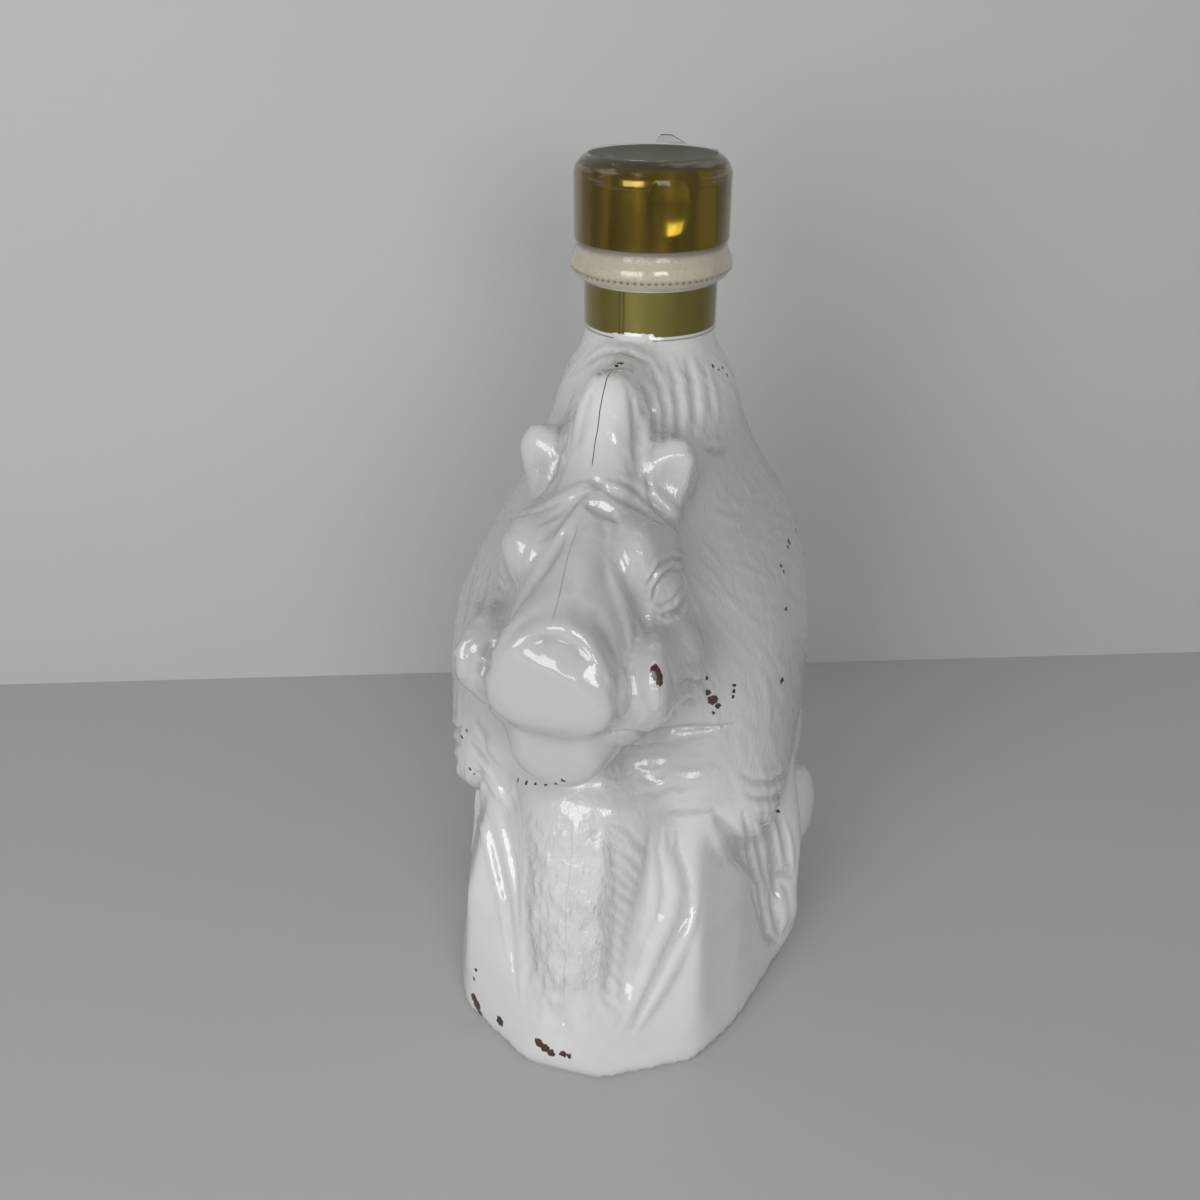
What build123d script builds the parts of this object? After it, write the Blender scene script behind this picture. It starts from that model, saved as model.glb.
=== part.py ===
# Figural liquor decanter, in millimetres: a blown-glass wild boar on a faceted rock, with a screw
# finish on its back. The boar faces -Y, and its left side is +X.
#
# What comes apart on a bench: the glass bottle, the gold foil band round its neck, the sealing disc
# on its lip, the threaded inner cap, the gold outer cap, and the clear shrink sleeve, which a line of
# perforations splits into a part that leaves with the cap and a part that stays on the neck.
#
# Every form is placed from the neck's axis and from the surface that the bottle stands on. The whole
# decanter is then moved along Y, so that its origin is below the middle of the bottle's box.

import os
from math import copysign, cos, pi, sin, sqrt

from build123d import *

# Neck and mouth of the glass
neck_radius = 15.5
neck_length = 12.0
shoulder_height = 175.0
shoulder_step = 0.6
mouth_radius = 10.2
bead_overhang = 3.3
bead_height = 9.0
finish_radius = 13.7
finish_height = 15.5
lip_rounding = 0.8

# Thread on the finish, and its mate in the cap
thread_lead = 3.2
thread_turns = 1.25
thread_depth = 0.9
thread_root_width = 1.5
thread_crest_width = 0.8
thread_setback = 3.2
thread_sink = 0.4
thread_clearance = 0.3

# Closure
disc_thickness = 1.2
disc_clearance = 0.2
inner_wall = 1.0
inner_top = 1.1
skirt_gap = 0.5
outer_wall = 2.05
outer_top = 1.2
cap_fit = 0.05
cap_round_height = 5.6
cap_round_width = 3.6
dish_depth = 0.5
dish_margin = 1.6
grip_count = 3
grip_width = 9.7
grip_height = 14.0
grip_depth = 0.55
grip_turn = -63.5

# Foil band and shrink sleeve
band_thickness = 0.2
band_height = 10.2
sleeve_thickness = 0.25
sleeve_ease = 0.05
sleeve_lap = 1.0
sleeve_hem = 0.9
perforation_gap = 0.3
bead_ease = 0.2
tab_height = 2.6
tab_lean = 0.8
tab_arc = 32.0
tab_turn = 87.0

# Glass walls
glass_wall = 6.5
floor_thickness = 9.0
push_up = 2.0
foot_width = 7.0

# Trunk of the boar, from the rock up to the neck
trunk_half_width = 45.0
trunk_front = 50.0
trunk_rear = 54.0
girth_reach = 22.0

# Head and jaw, measured forward from the neck's axis
nose_reach = 80.5
nose_height = 117.0
snout_half_width = 14.0
snout_half_height = 14.5
jaw_reach = 77.0
jaw_height = 104.0
jaw_half_width = 12.5
jaw_half_height = 14.0

# Mane, brows, eyes, ears and tusks
mane_half_width = 7.2
mane_reach = 47.0
mane_height = 174.0
mane_rounding = 3.0
brow_radius = 5.6
brow_spread = 12.8
eye_radius = 4.8
eye_spread = 18.2
eye_reach = 50.0
eye_height = 131.5
ear_length = 22.0
ear_width = 12.5
ear_spread = 15.5
ear_reach = 37.5
ear_height = 152.5
tusk_radius = 5.2
tusk_length = 21.0
tusk_spread = 20.2
tusk_reach = 64.0

# Forelegs, hind legs and tail
chest_half_width = 19.5
foreleg_reach = 73.0
hoof_height = 18.0
hoof_half_width = 8.6
haunch_radius = 17.0
hind_foot_spread = 45.5
hind_leg_radius = 6.0
tail_radius = 3.2

# Rock
rock_half_width = 47.0
rock_front = 76.5
rock_rear = 53.0
rock_height = 77.0
plinth_height = 7.0
plinth_inset = 1.6

# Smooth outlines are splines through this many points, and one overrun serves every cut
outline_points = 12
shoulder_steps = 8
overrun = 2.0

bead_base = shoulder_height + neck_length
bead_top = bead_base + bead_height
lip_height = bead_top + finish_height
thread_radius = finish_radius + thread_depth
inner_bore = thread_radius + thread_clearance
inner_radius = inner_bore + inner_wall
outer_bore = inner_radius + cap_fit
cap_radius = outer_bore + outer_wall
inner_ceiling = lip_height + disc_thickness
outer_ceiling = inner_ceiling + inner_top
cap_height = outer_ceiling + outer_top
cap_base = bead_top + skirt_gap
band_radius = neck_radius + band_thickness
band_base = bead_base - band_height

# How far the middle of the cap's shoulder bulges towards its corner
shoulder_bulge_share = 0.707
# How far the bead stands out and how high it has risen, as shares of its overhang and of its height
bead_shares = [
    (0.00, 0.00), (0.62, 0.16), (0.94, 0.34), (1.00, 0.46),
    (0.90, 0.62), (0.64, 0.80), (0.55, 1.00),
]
# Which of these points is the crown, and how high the perforations run, as a share of the bead's height
bead_crown_point = 3
perforation_share = 0.36

# Height as a share of shoulder height; the widest line as a share of girth reach; front, rear and half
# width as shares of the trunk's own; and how full the front and rear are: 2 is an ellipse, more is boxier
trunk_shares = [
    (0.225, 1.0, 0.88, 0.84, 0.85, 2.6, 2.4),
    (0.318, 1.0, 0.96, 0.93, 0.95, 2.8, 2.4),
    (0.426, 1.0, 1.00, 0.99, 1.00, 2.8, 2.3),
    (0.534, 1.0, 1.00, 1.00, 1.01, 2.5, 2.2),
    (0.608, 0.8, 1.00, 0.965, 0.99, 2.3, 2.2),
    (0.676, 0.35, 0.97, 0.90, 0.92, 2.15, 2.2),
    (0.750, 0.0, 0.88, 0.79, 0.77, 2.0, 2.1),
    (0.790, 0.0, 0.81, 0.71, 0.675, 2.0, 2.0),
    (0.835, 0.0, 0.74, 0.61, 0.585, 2.0, 2.0),
    (0.884, 0.0, 0.66, 0.52, 0.515, 2.0, 2.0),
    (0.923, 0.0, 0.57, 0.45, 0.48, 2.0, 2.0),
    (0.957, 0.0, 0.47, 0.375, 0.425, 2.0, 2.0),
    (0.982, 0.0, 0.365, 0.32, 0.355, 2.0, 2.0),
]
# How many of these sections the hollow follows, and how it closes, as a share of the mouth's radius
trunk_rows = 11
throat_share = 0.85
# Forward as a share of nose reach, height as a share of nose height, half width as a share of the
# snout's, how far down and up as shares of the snout's half height, and how full below and above
head_shares = [
    (0.24, 0.96, 2.15, 1.90, 2.50, 1.8, 1.5),
    (0.38, 0.98, 2.10, 1.65, 2.75, 1.8, 1.4),
    (0.49, 1.00, 1.84, 1.35, 2.82, 1.9, 1.4),
    (0.59, 1.01, 1.50, 1.10, 2.58, 2.0, 1.5),
    (0.683, 1.01, 1.28, 0.88, 2.22, 2.2, 1.6),
    (0.77, 1.005, 1.10, 0.72, 1.86, 2.2, 1.7),
    (0.845, 1.00, 1.00, 0.62, 1.58, 2.4, 1.9),
    (0.905, 1.00, 0.98, 0.58, 1.40, 2.6, 2.0),
    (0.945, 1.00, 1.06, 0.62, 1.34, 3.0, 2.0),
    (0.980, 1.00, 1.04, 0.60, 1.18, 3.0, 2.0),
    (1.000, 1.00, 0.88, 0.48, 0.92, 3.0, 2.0),
]
# How many of these sections the hollow of the skull follows
skull_rows = 6
# The jaw in the same order, as shares of jaw reach, jaw height, and the jaw's half width and height
jaw_shares = [
    (0.36, 0.92, 2.30, 1.40, 1.20, 2.0, 2.0),
    (0.52, 0.94, 2.00, 1.35, 1.00, 2.0, 2.0),
    (0.67, 0.965, 1.60, 1.32, 0.80, 2.0, 2.0),
    (0.80, 0.985, 1.26, 1.18, 0.60, 2.0, 2.0),
    (0.91, 1.00, 1.03, 1.03, 0.40, 2.0, 2.0),
    (0.98, 1.005, 0.96, 0.97, 0.36, 2.0, 2.0),
    (1.00, 1.01, 0.76, 0.72, 0.28, 2.0, 2.0),
]
# The crest: height as a share of its own, and half width and reach as shares of the mane's
mane_shares = [
    (0.80, 1.25, 1.24),
    (0.90, 1.00, 1.00),
    (1.00, 0.60, 0.82),
]
# Both forelegs together: height as a share of rock height, the front and the widest line as shares of
# foreleg reach, and half width as a share of the chest's
chest_shares = [
    (1.06, 0.78, 0.60, 1.08),
    (1.00, 0.85, 0.64, 1.07),
    (0.92, 0.885, 0.68, 1.00),
    (0.71, 0.93, 0.73, 0.87),
    (0.52, 0.965, 0.78, 0.73),
    (0.34, 0.99, 0.82, 0.62),
    (0.29, 0.99, 0.84, 0.54),
]
# Corners of the rock from the front round to the rear on one side: across and along, as shares of
# its half width and of its front or rear
rock_foot_shares = [
    (0.22, -1.00), (0.72, -0.81), (0.88, -0.59), (1.00, -0.28),
    (1.00, 0.20), (0.88, 0.66), (0.42, 1.00),
]
rock_waist_shares = [
    (0.25, -0.83), (0.66, -0.765), (0.80, -0.50), (0.87, -0.24),
    (0.88, 0.22), (0.78, 0.66), (0.40, 0.95),
]
rock_brow_shares = [
    (0.20, -0.60), (0.53, -0.60), (0.64, -0.42), (0.72, -0.20),
    (0.74, 0.20), (0.64, 0.60), (0.34, 0.86),
]


def smooth_outline(half_width, low, high, low_fullness=2.0, high_fullness=2.0):
    """A smooth closed outline about the origin, which reaches low below it and high above it."""
    points = []
    for step in range(outline_points):
        angle = pi / 2 + 2 * pi * step / outline_points
        below = sin(angle) < 0
        power = 2 / (low_fullness if below else high_fullness)
        across = copysign(abs(cos(angle)) ** power, cos(angle))
        along = copysign(abs(sin(angle)) ** power, sin(angle))
        points.append((half_width * across, (low if below else high) * along))
    return Face(Wire([Spline(*points, periodic=True)]))


def across_head(forward, height):
    """A plane square to the boar's length, whose own Y points down."""
    return Plane(origin=(0, -forward, height), x_dir=(1, 0, 0), z_dir=(0, 1, 0))


def oval(half_width, half_length, half_height, place, tilt=(0, 0, 0)):
    """An ellipsoid at a place, turned about its own middle."""
    return Pos(*place) * Rot(*tilt) * scale(Sphere(1), by=(half_width, half_length, half_height))


def tapered(points, radii):
    """A round limb through the points, with a radius at each, which closes to a blunt tip at both ends."""
    last = len(points) - 1
    sections = []
    for number, (point, radius) in enumerate(zip(points, radii)):
        ahead = Vector(*points[min(number + 1, last)])
        behind = Vector(*points[max(number - 1, 0)])
        course = (ahead - behind).normalized()
        place = Plane(origin=point, x_dir=(1, 0, 0), z_dir=course)
        if number == 0:
            sections.append(Vertex(*(place.origin - course * radius)))
        sections.append(place * smooth_outline(radius, radius, radius))
        if number == last:
            sections.append(Vertex(*(place.origin + course * radius)))
    return loft(sections)


def both_sides(form):
    """The form and its mirror image on the boar's other side."""
    return [form, mirror(form, Plane.YZ)]


def barrel(shares, throat, inset=0.0):
    """Barrel, shoulders and hump, closing to a round throat. An inset makes the form smaller all round."""
    sections = []
    for height, middle, front, rear, half_width, front_fullness, rear_fullness in shares:
        widest = girth_reach * middle
        outline = smooth_outline(
            trunk_half_width * half_width - inset,
            trunk_front * front - widest - inset,
            trunk_rear * rear + widest - inset,
            front_fullness,
            rear_fullness,
        )
        sections.append(Pos(0, -widest, shoulder_height * height) * outline)
    sections.append(Pos(0, 0, shoulder_height) * smooth_outline(throat, throat, throat))
    return loft(sections)


def trunk():
    """Outside of the boar's body, up to the neck."""
    return barrel(trunk_shares, neck_radius + shoulder_step)


def muzzle(shares, reach, level, half_width, half_height, inset=0.0):
    """A form of the head, from sections that face the front."""
    sections = []
    for forward, height, across, down, up, low_fullness, high_fullness in shares:
        outline = smooth_outline(
            half_width * across - inset,
            half_height * up - inset,
            half_height * down - inset,
            high_fullness,
            low_fullness,
        )
        sections.append(across_head(reach * forward, level * height) * outline)
    return loft(sections)


def head():
    """Skull, cheeks and snout, with the nose disc at the front."""
    return muzzle(head_shares, nose_reach, nose_height, snout_half_width, snout_half_height)


def skull_hollow():
    """The hollow behind the forehead. The snout ahead of it is solid glass."""
    rows = head_shares[:skull_rows]
    return muzzle(rows, nose_reach, nose_height, snout_half_width, snout_half_height, glass_wall)


def jaw():
    """Lower jaw and lip, which closes below the snout."""
    return muzzle(jaw_shares, jaw_reach, jaw_height, jaw_half_width, jaw_half_height)


def mane():
    """Crest of bristles that runs up from the forehead and ends in a ledge on the neck."""
    sections = []
    for height, half_width, reach in mane_shares:
        length = mane_reach * reach - neck_radius / 2
        blank = RectangleRounded(2 * mane_half_width * half_width, length, mane_rounding)
        sections.append(Pos(0, -length / 2 - neck_radius / 2, mane_height * height) * blank)
    return loft(sections)


def brow():
    """Bony ridge over one eye."""
    place = (brow_spread, -1.04 * eye_reach, eye_height + 1.5 * brow_radius)
    return oval(brow_radius, 1.6 * brow_radius, 1.7 * brow_radius, place, (28, 0, 12))


def eye():
    """Lids and eyeball as one bulge."""
    place = (eye_spread, -eye_reach, eye_height)
    return oval(0.8 * eye_radius, 1.4 * eye_radius, eye_radius, place, (15, 0, -14))


def ear():
    """Cupped ear, hollow at its front, on the root that ties it to the neck."""
    place = Pos(ear_spread, -ear_reach, ear_height) * Rot(-12, 10, 14)
    shell = scale(Sphere(1), by=(ear_width / 2, 0.40 * ear_width, ear_length / 2))
    root = Pos(-0.16 * ear_width, 0.46 * ear_width, -0.05 * ear_length) * scale(
        Sphere(1), by=(0.52 * ear_width, 0.66 * ear_width, 0.43 * ear_length)
    )
    cup = Pos(0, -0.42 * ear_width, -0.06 * ear_length) * scale(
        Sphere(1), by=(0.36 * ear_width, 0.28 * ear_width, 0.36 * ear_length)
    )
    return place * (shell + root - cup)


def tusk():
    """Blunt upturned tusk beside the snout, in the fold of the lip that runs back from it."""
    place = (tusk_spread, -tusk_reach, nose_height)
    return oval(tusk_radius, 2.1 * tusk_radius, tusk_length / 2, place, (-8, -8, 10))


def chest():
    """Both forelegs side by side, planted at the front of the rock."""
    sections = []
    for height, front, widest, half_width in chest_shares:
        ahead = foreleg_reach * (front - widest)
        outline = smooth_outline(chest_half_width * half_width, ahead, ahead, 1.9, 2.4)
        sections.append(Pos(0, -foreleg_reach * widest, rock_height * height) * outline)
    return loft(sections)


def fore_hoof():
    """One of the two front hooves, set on the plinth and cloven from its neighbour."""
    across = hoof_half_width / 2
    sole = Pos(across, across - rock_front, plinth_height - plinth_inset)
    crown = Pos(across, 1.5 * across - foreleg_reach, plinth_height + hoof_height)
    return loft([
        sole * smooth_outline(1.05 * across, 1.1 * across, 3 * across, 2.6),
        crown * smooth_outline(1.15 * across, 1.2 * across, 3 * across, 2.4),
    ])


def haunch():
    """Thigh of one hind leg."""
    place = (0.60 * hind_foot_spread, 0.16 * trunk_rear, 0.74 * rock_height)
    return oval(haunch_radius, 1.6 * haunch_radius, 1.8 * haunch_radius, place, (-24, 0, 0))


def hind_leg():
    """Shank of one hind leg, brought forward beside the rock, with its hoof."""
    points = [
        (0.72 * hind_foot_spread, 0.02 * trunk_rear, 0.78 * rock_height),
        (0.84 * hind_foot_spread, -0.08 * trunk_rear, 0.55 * rock_height),
        (0.95 * hind_foot_spread, -0.17 * trunk_rear, 0.36 * rock_height),
        (hind_foot_spread, -0.22 * trunk_rear, 0.20 * rock_height),
        (hind_foot_spread, -0.25 * trunk_rear, hind_leg_radius),
    ]
    shares = (1.9, 1.5, 1.05, 0.78, 0.84)
    return tapered(points, [hind_leg_radius * share for share in shares])


def hock():
    """Heel of one hind leg, which shows behind its shank."""
    place = (0.95 * hind_foot_spread, 0.38 * trunk_rear, 0.33 * rock_height)
    return oval(hind_leg_radius, 2 * hind_leg_radius, 2.2 * hind_leg_radius, place, (-18, 0, 0))


def tail():
    """Short tail laid against the rump."""
    points = [
        (0, 0.84 * trunk_rear, 0.70 * shoulder_height),
        (0.08 * trunk_half_width, 0.96 * trunk_rear, 0.64 * shoulder_height),
        (0.13 * trunk_half_width, 1.00 * trunk_rear, 0.55 * shoulder_height),
        (0.08 * trunk_half_width, 1.00 * trunk_rear, 0.46 * shoulder_height),
    ]
    shares = (1.3, 1.1, 1.0, 0.8)
    return tapered(points, [tail_radius * share for share in shares])


def rock_outline(shares, inset=0.0):
    """One closed level outline of the rock, from the shares of its corners."""
    side = []
    for across, along in shares:
        reach = rock_rear if along > 0 else rock_front
        side.append(((rock_half_width - inset) * across, (reach - inset) * along))
    other = [(-x, y) for x, y in reversed(side)]
    return make_face(Polyline(*side, *other, close=True))


def rock(inset=0.0, floor=0.0):
    """Faceted rock on a bevelled plinth."""
    foot = Pos(0, 0, floor) * rock_outline(rock_foot_shares, inset)
    plinth = Pos(0, 0, plinth_height + floor) * rock_outline(rock_foot_shares, inset + plinth_inset)
    waist = Pos(0, 0, 0.5 * rock_height) * rock_outline(rock_waist_shares, inset)
    brow_line = Pos(0, 0, rock_height - inset) * rock_outline(rock_brow_shares, inset)
    return loft([foot, plinth, waist, brow_line], ruled=True)


def figure():
    """The boar and its rock as one solid form, without the neck."""
    solid = trunk()
    for form in (head(), jaw(), mane(), chest(), tail(), rock()):
        solid += form
    for form in (brow(), eye(), ear(), tusk(), fore_hoof(), haunch(), hind_leg(), hock()):
        for side in both_sides(form):
            solid += side
    return solid


def ring(points):
    """A body of revolution about the neck's axis, from radius and height points."""
    profile = make_face(Polyline(*[(radius, 0, height) for radius, height in points], close=True))
    return revolve(profile, Axis.Z)


def helical_rib(root_radius, crest_radius, start_height, start_turn):
    """A thread rib of the two widths, whose root is sunk by thread_sink into the wall that carries it."""
    outward = copysign(1, crest_radius - root_radius)
    depth = crest_radius - root_radius
    path = Helix(thread_lead, thread_lead * thread_turns, root_radius)
    half_root = thread_root_width / 2
    half_crest = thread_crest_width / 2
    corners = [(-outward * thread_sink, -half_root), (0, -half_root), (depth, -half_crest)]
    corners += [(depth, half_crest), (0, half_root), (-outward * thread_sink, half_root)]
    across = Plane(origin=path @ 0, x_dir=(1, 0, 0), z_dir=path % 0)
    rib = sweep(across * make_face(Polyline(*corners, close=True)), path=path, is_frenet=True)
    return Pos(0, 0, start_height) * Rot(0, 0, start_turn) * rib


def bead_points(ease=0.0):
    """Radius and height points of the bead, from its foot to its top, with ease all round."""
    points = []
    for out, rise in bead_shares:
        points.append((neck_radius + bead_overhang * out + ease, bead_base + bead_height * rise))
    return points


def neck_and_finish():
    """Straight neck, transfer bead and threaded finish, still solid inside."""
    foot = shoulder_height - neck_radius / 2
    outline = [(0, foot), (neck_radius, foot)] + bead_points()
    outline += [(finish_radius, bead_top), (finish_radius, lip_height), (0, lip_height)]
    blank = ring(outline)
    lip = blank.edges().filter_by(GeomType.CIRCLE).sort_by(Axis.Z)[-1]
    blank = fillet(lip, lip_rounding)
    start = lip_height - thread_setback - thread_turns * thread_lead
    return blank + helical_rib(finish_radius, thread_radius, start, 0)


def cavity():
    """The hollow of the bottle, with its bore."""
    inside = barrel(trunk_shares[:trunk_rows], throat_share * mouth_radius, glass_wall)
    inside += rock(glass_wall, floor_thickness)
    inside += skull_hollow()
    foot = shoulder_height - neck_radius
    bore_length = lip_height + overrun - foot
    bore = Pos(0, 0, foot + bore_length / 2) * Cylinder(mouth_radius, bore_length)
    return inside + bore


def glass_bottle():
    """The blown bottle: boar, rock, neck and finish round one hollow."""
    bottle = figure() + neck_and_finish()
    ground_size = 2 * overrun * rock_front
    bottle -= Pos(0, 0, -ground_size / 2) * Box(ground_size, ground_size, ground_size)
    bottle -= cavity()
    dent = loft([
        rock_outline(rock_foot_shares, plinth_inset + foot_width),
        Pos(0, 0, push_up) * rock_outline(rock_foot_shares, plinth_inset + foot_width + foot_width),
    ], ruled=True)
    return bottle - dent


def sealing_disc():
    """Soft liner that the cap presses on the lip."""
    radius = inner_bore - disc_clearance
    return Pos(0, 0, lip_height + disc_thickness / 2) * Cylinder(radius, disc_thickness)


def inner_cap():
    """Threaded inner cap, whose thread lies half a turn of lead away from the one on the finish."""
    shell = ring([
        (0, inner_ceiling),
        (inner_bore, inner_ceiling),
        (inner_bore, cap_base),
        (inner_radius, cap_base),
        (inner_radius, outer_ceiling),
        (0, outer_ceiling),
    ])
    start = lip_height - thread_setback - thread_turns * thread_lead
    return shell + helical_rib(inner_bore, inner_bore - thread_depth, start, 180)


def cap_profile(ease=0.0):
    """Where the cap's side ends and its flat top begins, as radius and height, with ease all round."""
    side = (cap_radius + ease, cap_height - cap_round_height)
    top = (cap_radius - cap_round_width, cap_height + ease)
    return side, top


def round_shoulder(side, top):
    """The cap's rounded shoulder, an arc in the section plane."""
    out = top[0] + shoulder_bulge_share * (side[0] - top[0])
    up = side[1] + shoulder_bulge_share * (top[1] - side[1])
    return ThreePointArc(side, (out, up), top)


def grip():
    """The form that cuts one finger grip, as wide and high on the cap's side as its sizes say."""
    fall = cap_radius - sqrt(cap_radius ** 2 - (grip_width / 2) ** 2)
    half_depth = 2 * grip_depth + fall
    half_width = grip_width / 2 / sqrt(1 - ((grip_depth + fall) / half_depth) ** 2)
    half_height = grip_height / 2 / sqrt(1 - (grip_depth / half_depth) ** 2)
    place = (cap_radius + grip_depth, 0, (cap_base + cap_height) / 2)
    return oval(half_depth, half_width, half_height, place)


def outer_cap():
    """Gold cap with a rounded shoulder, a dished top and oval grips for the fingers."""
    side, top = cap_profile()
    roof = Polyline(top, (0, cap_height), (0, outer_ceiling), (outer_bore, outer_ceiling))
    skirt = Polyline((outer_bore, outer_ceiling), (outer_bore, cap_base), (side[0], cap_base), side)
    shell = revolve(Plane.XZ * make_face([skirt, round_shoulder(side, top), roof]), Axis.Z)
    dish_width = top[0] - dish_margin
    dish_curve = (dish_width ** 2 + dish_depth ** 2) / (2 * dish_depth)
    shell -= Pos(0, 0, cap_height - dish_depth + dish_curve) * Sphere(dish_curve)
    for number in range(grip_count):
        shell -= Rot(0, 0, grip_turn + 360 * number / grip_count) * grip()
    return shell


def neck_band():
    """Gold foil band, wound once round the neck."""
    return ring([
        (neck_radius, band_base),
        (band_radius, band_base),
        (band_radius, bead_base),
        (neck_radius, bead_base),
    ])


def sleeve_body(inner, outer):
    """A film of revolution between two open lines of radius and height points, joined at both ends."""
    edges = [Polyline(*inner), Polyline(*outer), Line(inner[0], outer[0]), Line(inner[-1], outer[-1])]
    return revolve(Plane.XZ * make_face(edges), Axis.Z)


def sleeve_line(ease):
    """The film's line over the bead, the cap's side and its shoulder, from the perforations up."""
    over_bead = bead_ease + ease
    crown = bead_points(over_bead)[bead_crown_point]
    hem = (crown[0], bead_base + bead_height * perforation_share + perforation_gap / 2)
    side, top = cap_profile(sleeve_ease + ease)
    points = [hem] + bead_points(over_bead)[bead_crown_point:] + [(side[0], cap_base)]
    shoulder = round_shoulder(side, top)
    for step in range(shoulder_steps + 1):
        place = shoulder @ (step / shoulder_steps)
        points.append((place.X, place.Y))
    return points + [(top[0] - sleeve_lap, top[1])]


def sleeve_upper():
    """Film that leaves with the cap, with the torn tab that stands up at the back of its top edge."""
    film = sleeve_body(sleeve_line(0), sleeve_line(sleeve_thickness))
    edge = cap_radius - cap_round_width
    foot = cap_height + sleeve_ease
    tab = make_face(Polyline(
        (edge - sleeve_thickness, foot),
        (edge, foot),
        (edge + tab_lean, cap_height + tab_height),
        (edge + tab_lean - sleeve_thickness, cap_height + tab_height),
        close=True,
    ))
    return film + Rot(0, 0, tab_turn - tab_arc / 2) * revolve(Plane.XZ * tab, Axis.Z, tab_arc)


def sleeve_lower():
    """Film that stays on the neck, from the perforations down to a hem below the band."""
    lines = []
    for ease in (0, sleeve_thickness):
        over_band = band_radius + sleeve_ease + ease
        crown = bead_points(bead_ease + ease)[bead_crown_point]
        break_height = bead_base + bead_height * perforation_share - perforation_gap / 2
        lines.append([
            (over_band, band_base - sleeve_hem),
            (over_band, bead_base),
            bead_points(bead_ease + ease)[1],
            (crown[0], break_height),
        ])
    return sleeve_body(*lines)


if __name__ == "__main__":
    os.makedirs("parts", exist_ok=True)
    pieces = {
        "glass_bottle": glass_bottle(),
        "sealing_disc": sealing_disc(),
        "inner_cap": inner_cap(),
        "outer_cap": outer_cap(),
        "neck_band": neck_band(),
        "sleeve_upper": sleeve_upper(),
        "sleeve_lower": sleeve_lower(),
    }
    box = pieces["glass_bottle"].bounding_box()
    shift = -(box.min.Y + box.max.Y) / 2
    print("moved along Y by", round(shift, 3), "mm")
    for name, piece in pieces.items():
        print(name, "solids", len(piece.solids()), "cubic centimetres", round(piece.volume * 1e-3, 1))
        export_step(Pos(0, shift, 0) * piece, f"parts/{name}.step")
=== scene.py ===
import math
from functools import reduce

import bmesh
import bpy
import numpy as np
from bpy.props import FloatProperty, FloatVectorProperty, IntProperty, PointerProperty
from mathutils import Matrix, Vector, noise
from mathutils.bvhtree import BVHTree


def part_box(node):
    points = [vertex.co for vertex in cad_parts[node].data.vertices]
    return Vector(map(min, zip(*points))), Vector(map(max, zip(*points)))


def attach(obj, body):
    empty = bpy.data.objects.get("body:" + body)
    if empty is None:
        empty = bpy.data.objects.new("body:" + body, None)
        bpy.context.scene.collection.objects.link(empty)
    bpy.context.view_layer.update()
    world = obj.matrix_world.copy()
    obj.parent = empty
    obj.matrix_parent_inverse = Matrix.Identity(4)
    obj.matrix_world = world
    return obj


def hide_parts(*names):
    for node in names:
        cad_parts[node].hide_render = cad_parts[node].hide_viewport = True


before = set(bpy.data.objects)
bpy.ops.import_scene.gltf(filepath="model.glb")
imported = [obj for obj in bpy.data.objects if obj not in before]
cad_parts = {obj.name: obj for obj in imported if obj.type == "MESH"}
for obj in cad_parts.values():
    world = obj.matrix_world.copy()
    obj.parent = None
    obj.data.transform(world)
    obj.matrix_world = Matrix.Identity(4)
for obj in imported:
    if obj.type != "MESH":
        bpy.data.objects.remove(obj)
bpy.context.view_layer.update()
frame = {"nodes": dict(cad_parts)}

bl_info = {
    "name": "Boar Decanter",
    "version": (1, 0, 0),
    "blender": (4, 5, 0),
    "location": "View3D > Sidebar > Decanter",
    "description": "Dresses the blown-glass boar decanter and sets it on its stage",
    "category": "Add Mesh",
}

MM = 0.001
# The photograph's width and height in pixels, and how many of them its lens gives to a unit of slope
PHOTO_SIZE = 1200
LENS_PIXELS = 1203
LOOK_TURN = math.radians(17)
LOOK_DROP = math.radians(28)

cap_low, cap_high = (Vector(corner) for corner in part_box("outer_cap"))
band_low, band_high = (Vector(corner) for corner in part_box("neck_band"))
# The neck's axis, and the height at which the boar's skin meets the neck, hidden behind the band
AXIS = Vector(((band_low.x + band_high.x) / 2, (band_low.y + band_high.y) / 2, 0))
SEAM = 0.3 * band_low.z + 0.7 * band_high.z
# Where the photograph was taken from
EYE = AXIS + Vector((0.0728, -0.2794, 0.2535))

sleeve_low, sleeve_high = (Vector(corner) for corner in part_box("sleeve_lower"))
# Lower edge of the film, and the height and number of the perforations between its two parts
SLEEVE_FOOT = sleeve_low.z
PERFORATIONS = sleeve_high.z
PERFORATION_COUNT = 74
FILM_WALL = 0.09 * MM
RIM_WALL = 0.06 * MM
# The film's side is traced from the neck's axis up to this height, and its shoulder from a ring inside
# the cap, at this height and with rays that lift by these degrees
SIDE_END = 208.5 * MM
SHOULDER_RING = 12 * MM
SHOULDER_HEIGHT = 208.6 * MM
SHOULDER_LIFTS = range(6, 67, 4)
# The torn tab at the rear of the film's top edge and the low one at its left, in degrees about the neck
TAB_START = 71
TAB_END = 103
TAB_HEIGHT = 2.1 * MM
LEFT_START = 236
LEFT_WIDTH = 16
LEFT_HEIGHT = 0.9 * MM
# The foil band: where its lap starts, by what share of a turn it laps, the share over which it climbs onto
# its own start, how high it climbs, how thick it is, and the two lines that its lap shows
LAP_TURN = math.radians(-102)
LAP_SHARE = 0.012
LAP_RISE = 0.02
LAP_CLIMB = 0.09 * MM
FOIL_WALL = 0.08 * MM
FOIL_INSET = 0.19 * MM
LAP_LINES = (math.radians(-102), math.radians(-98.4))

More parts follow.
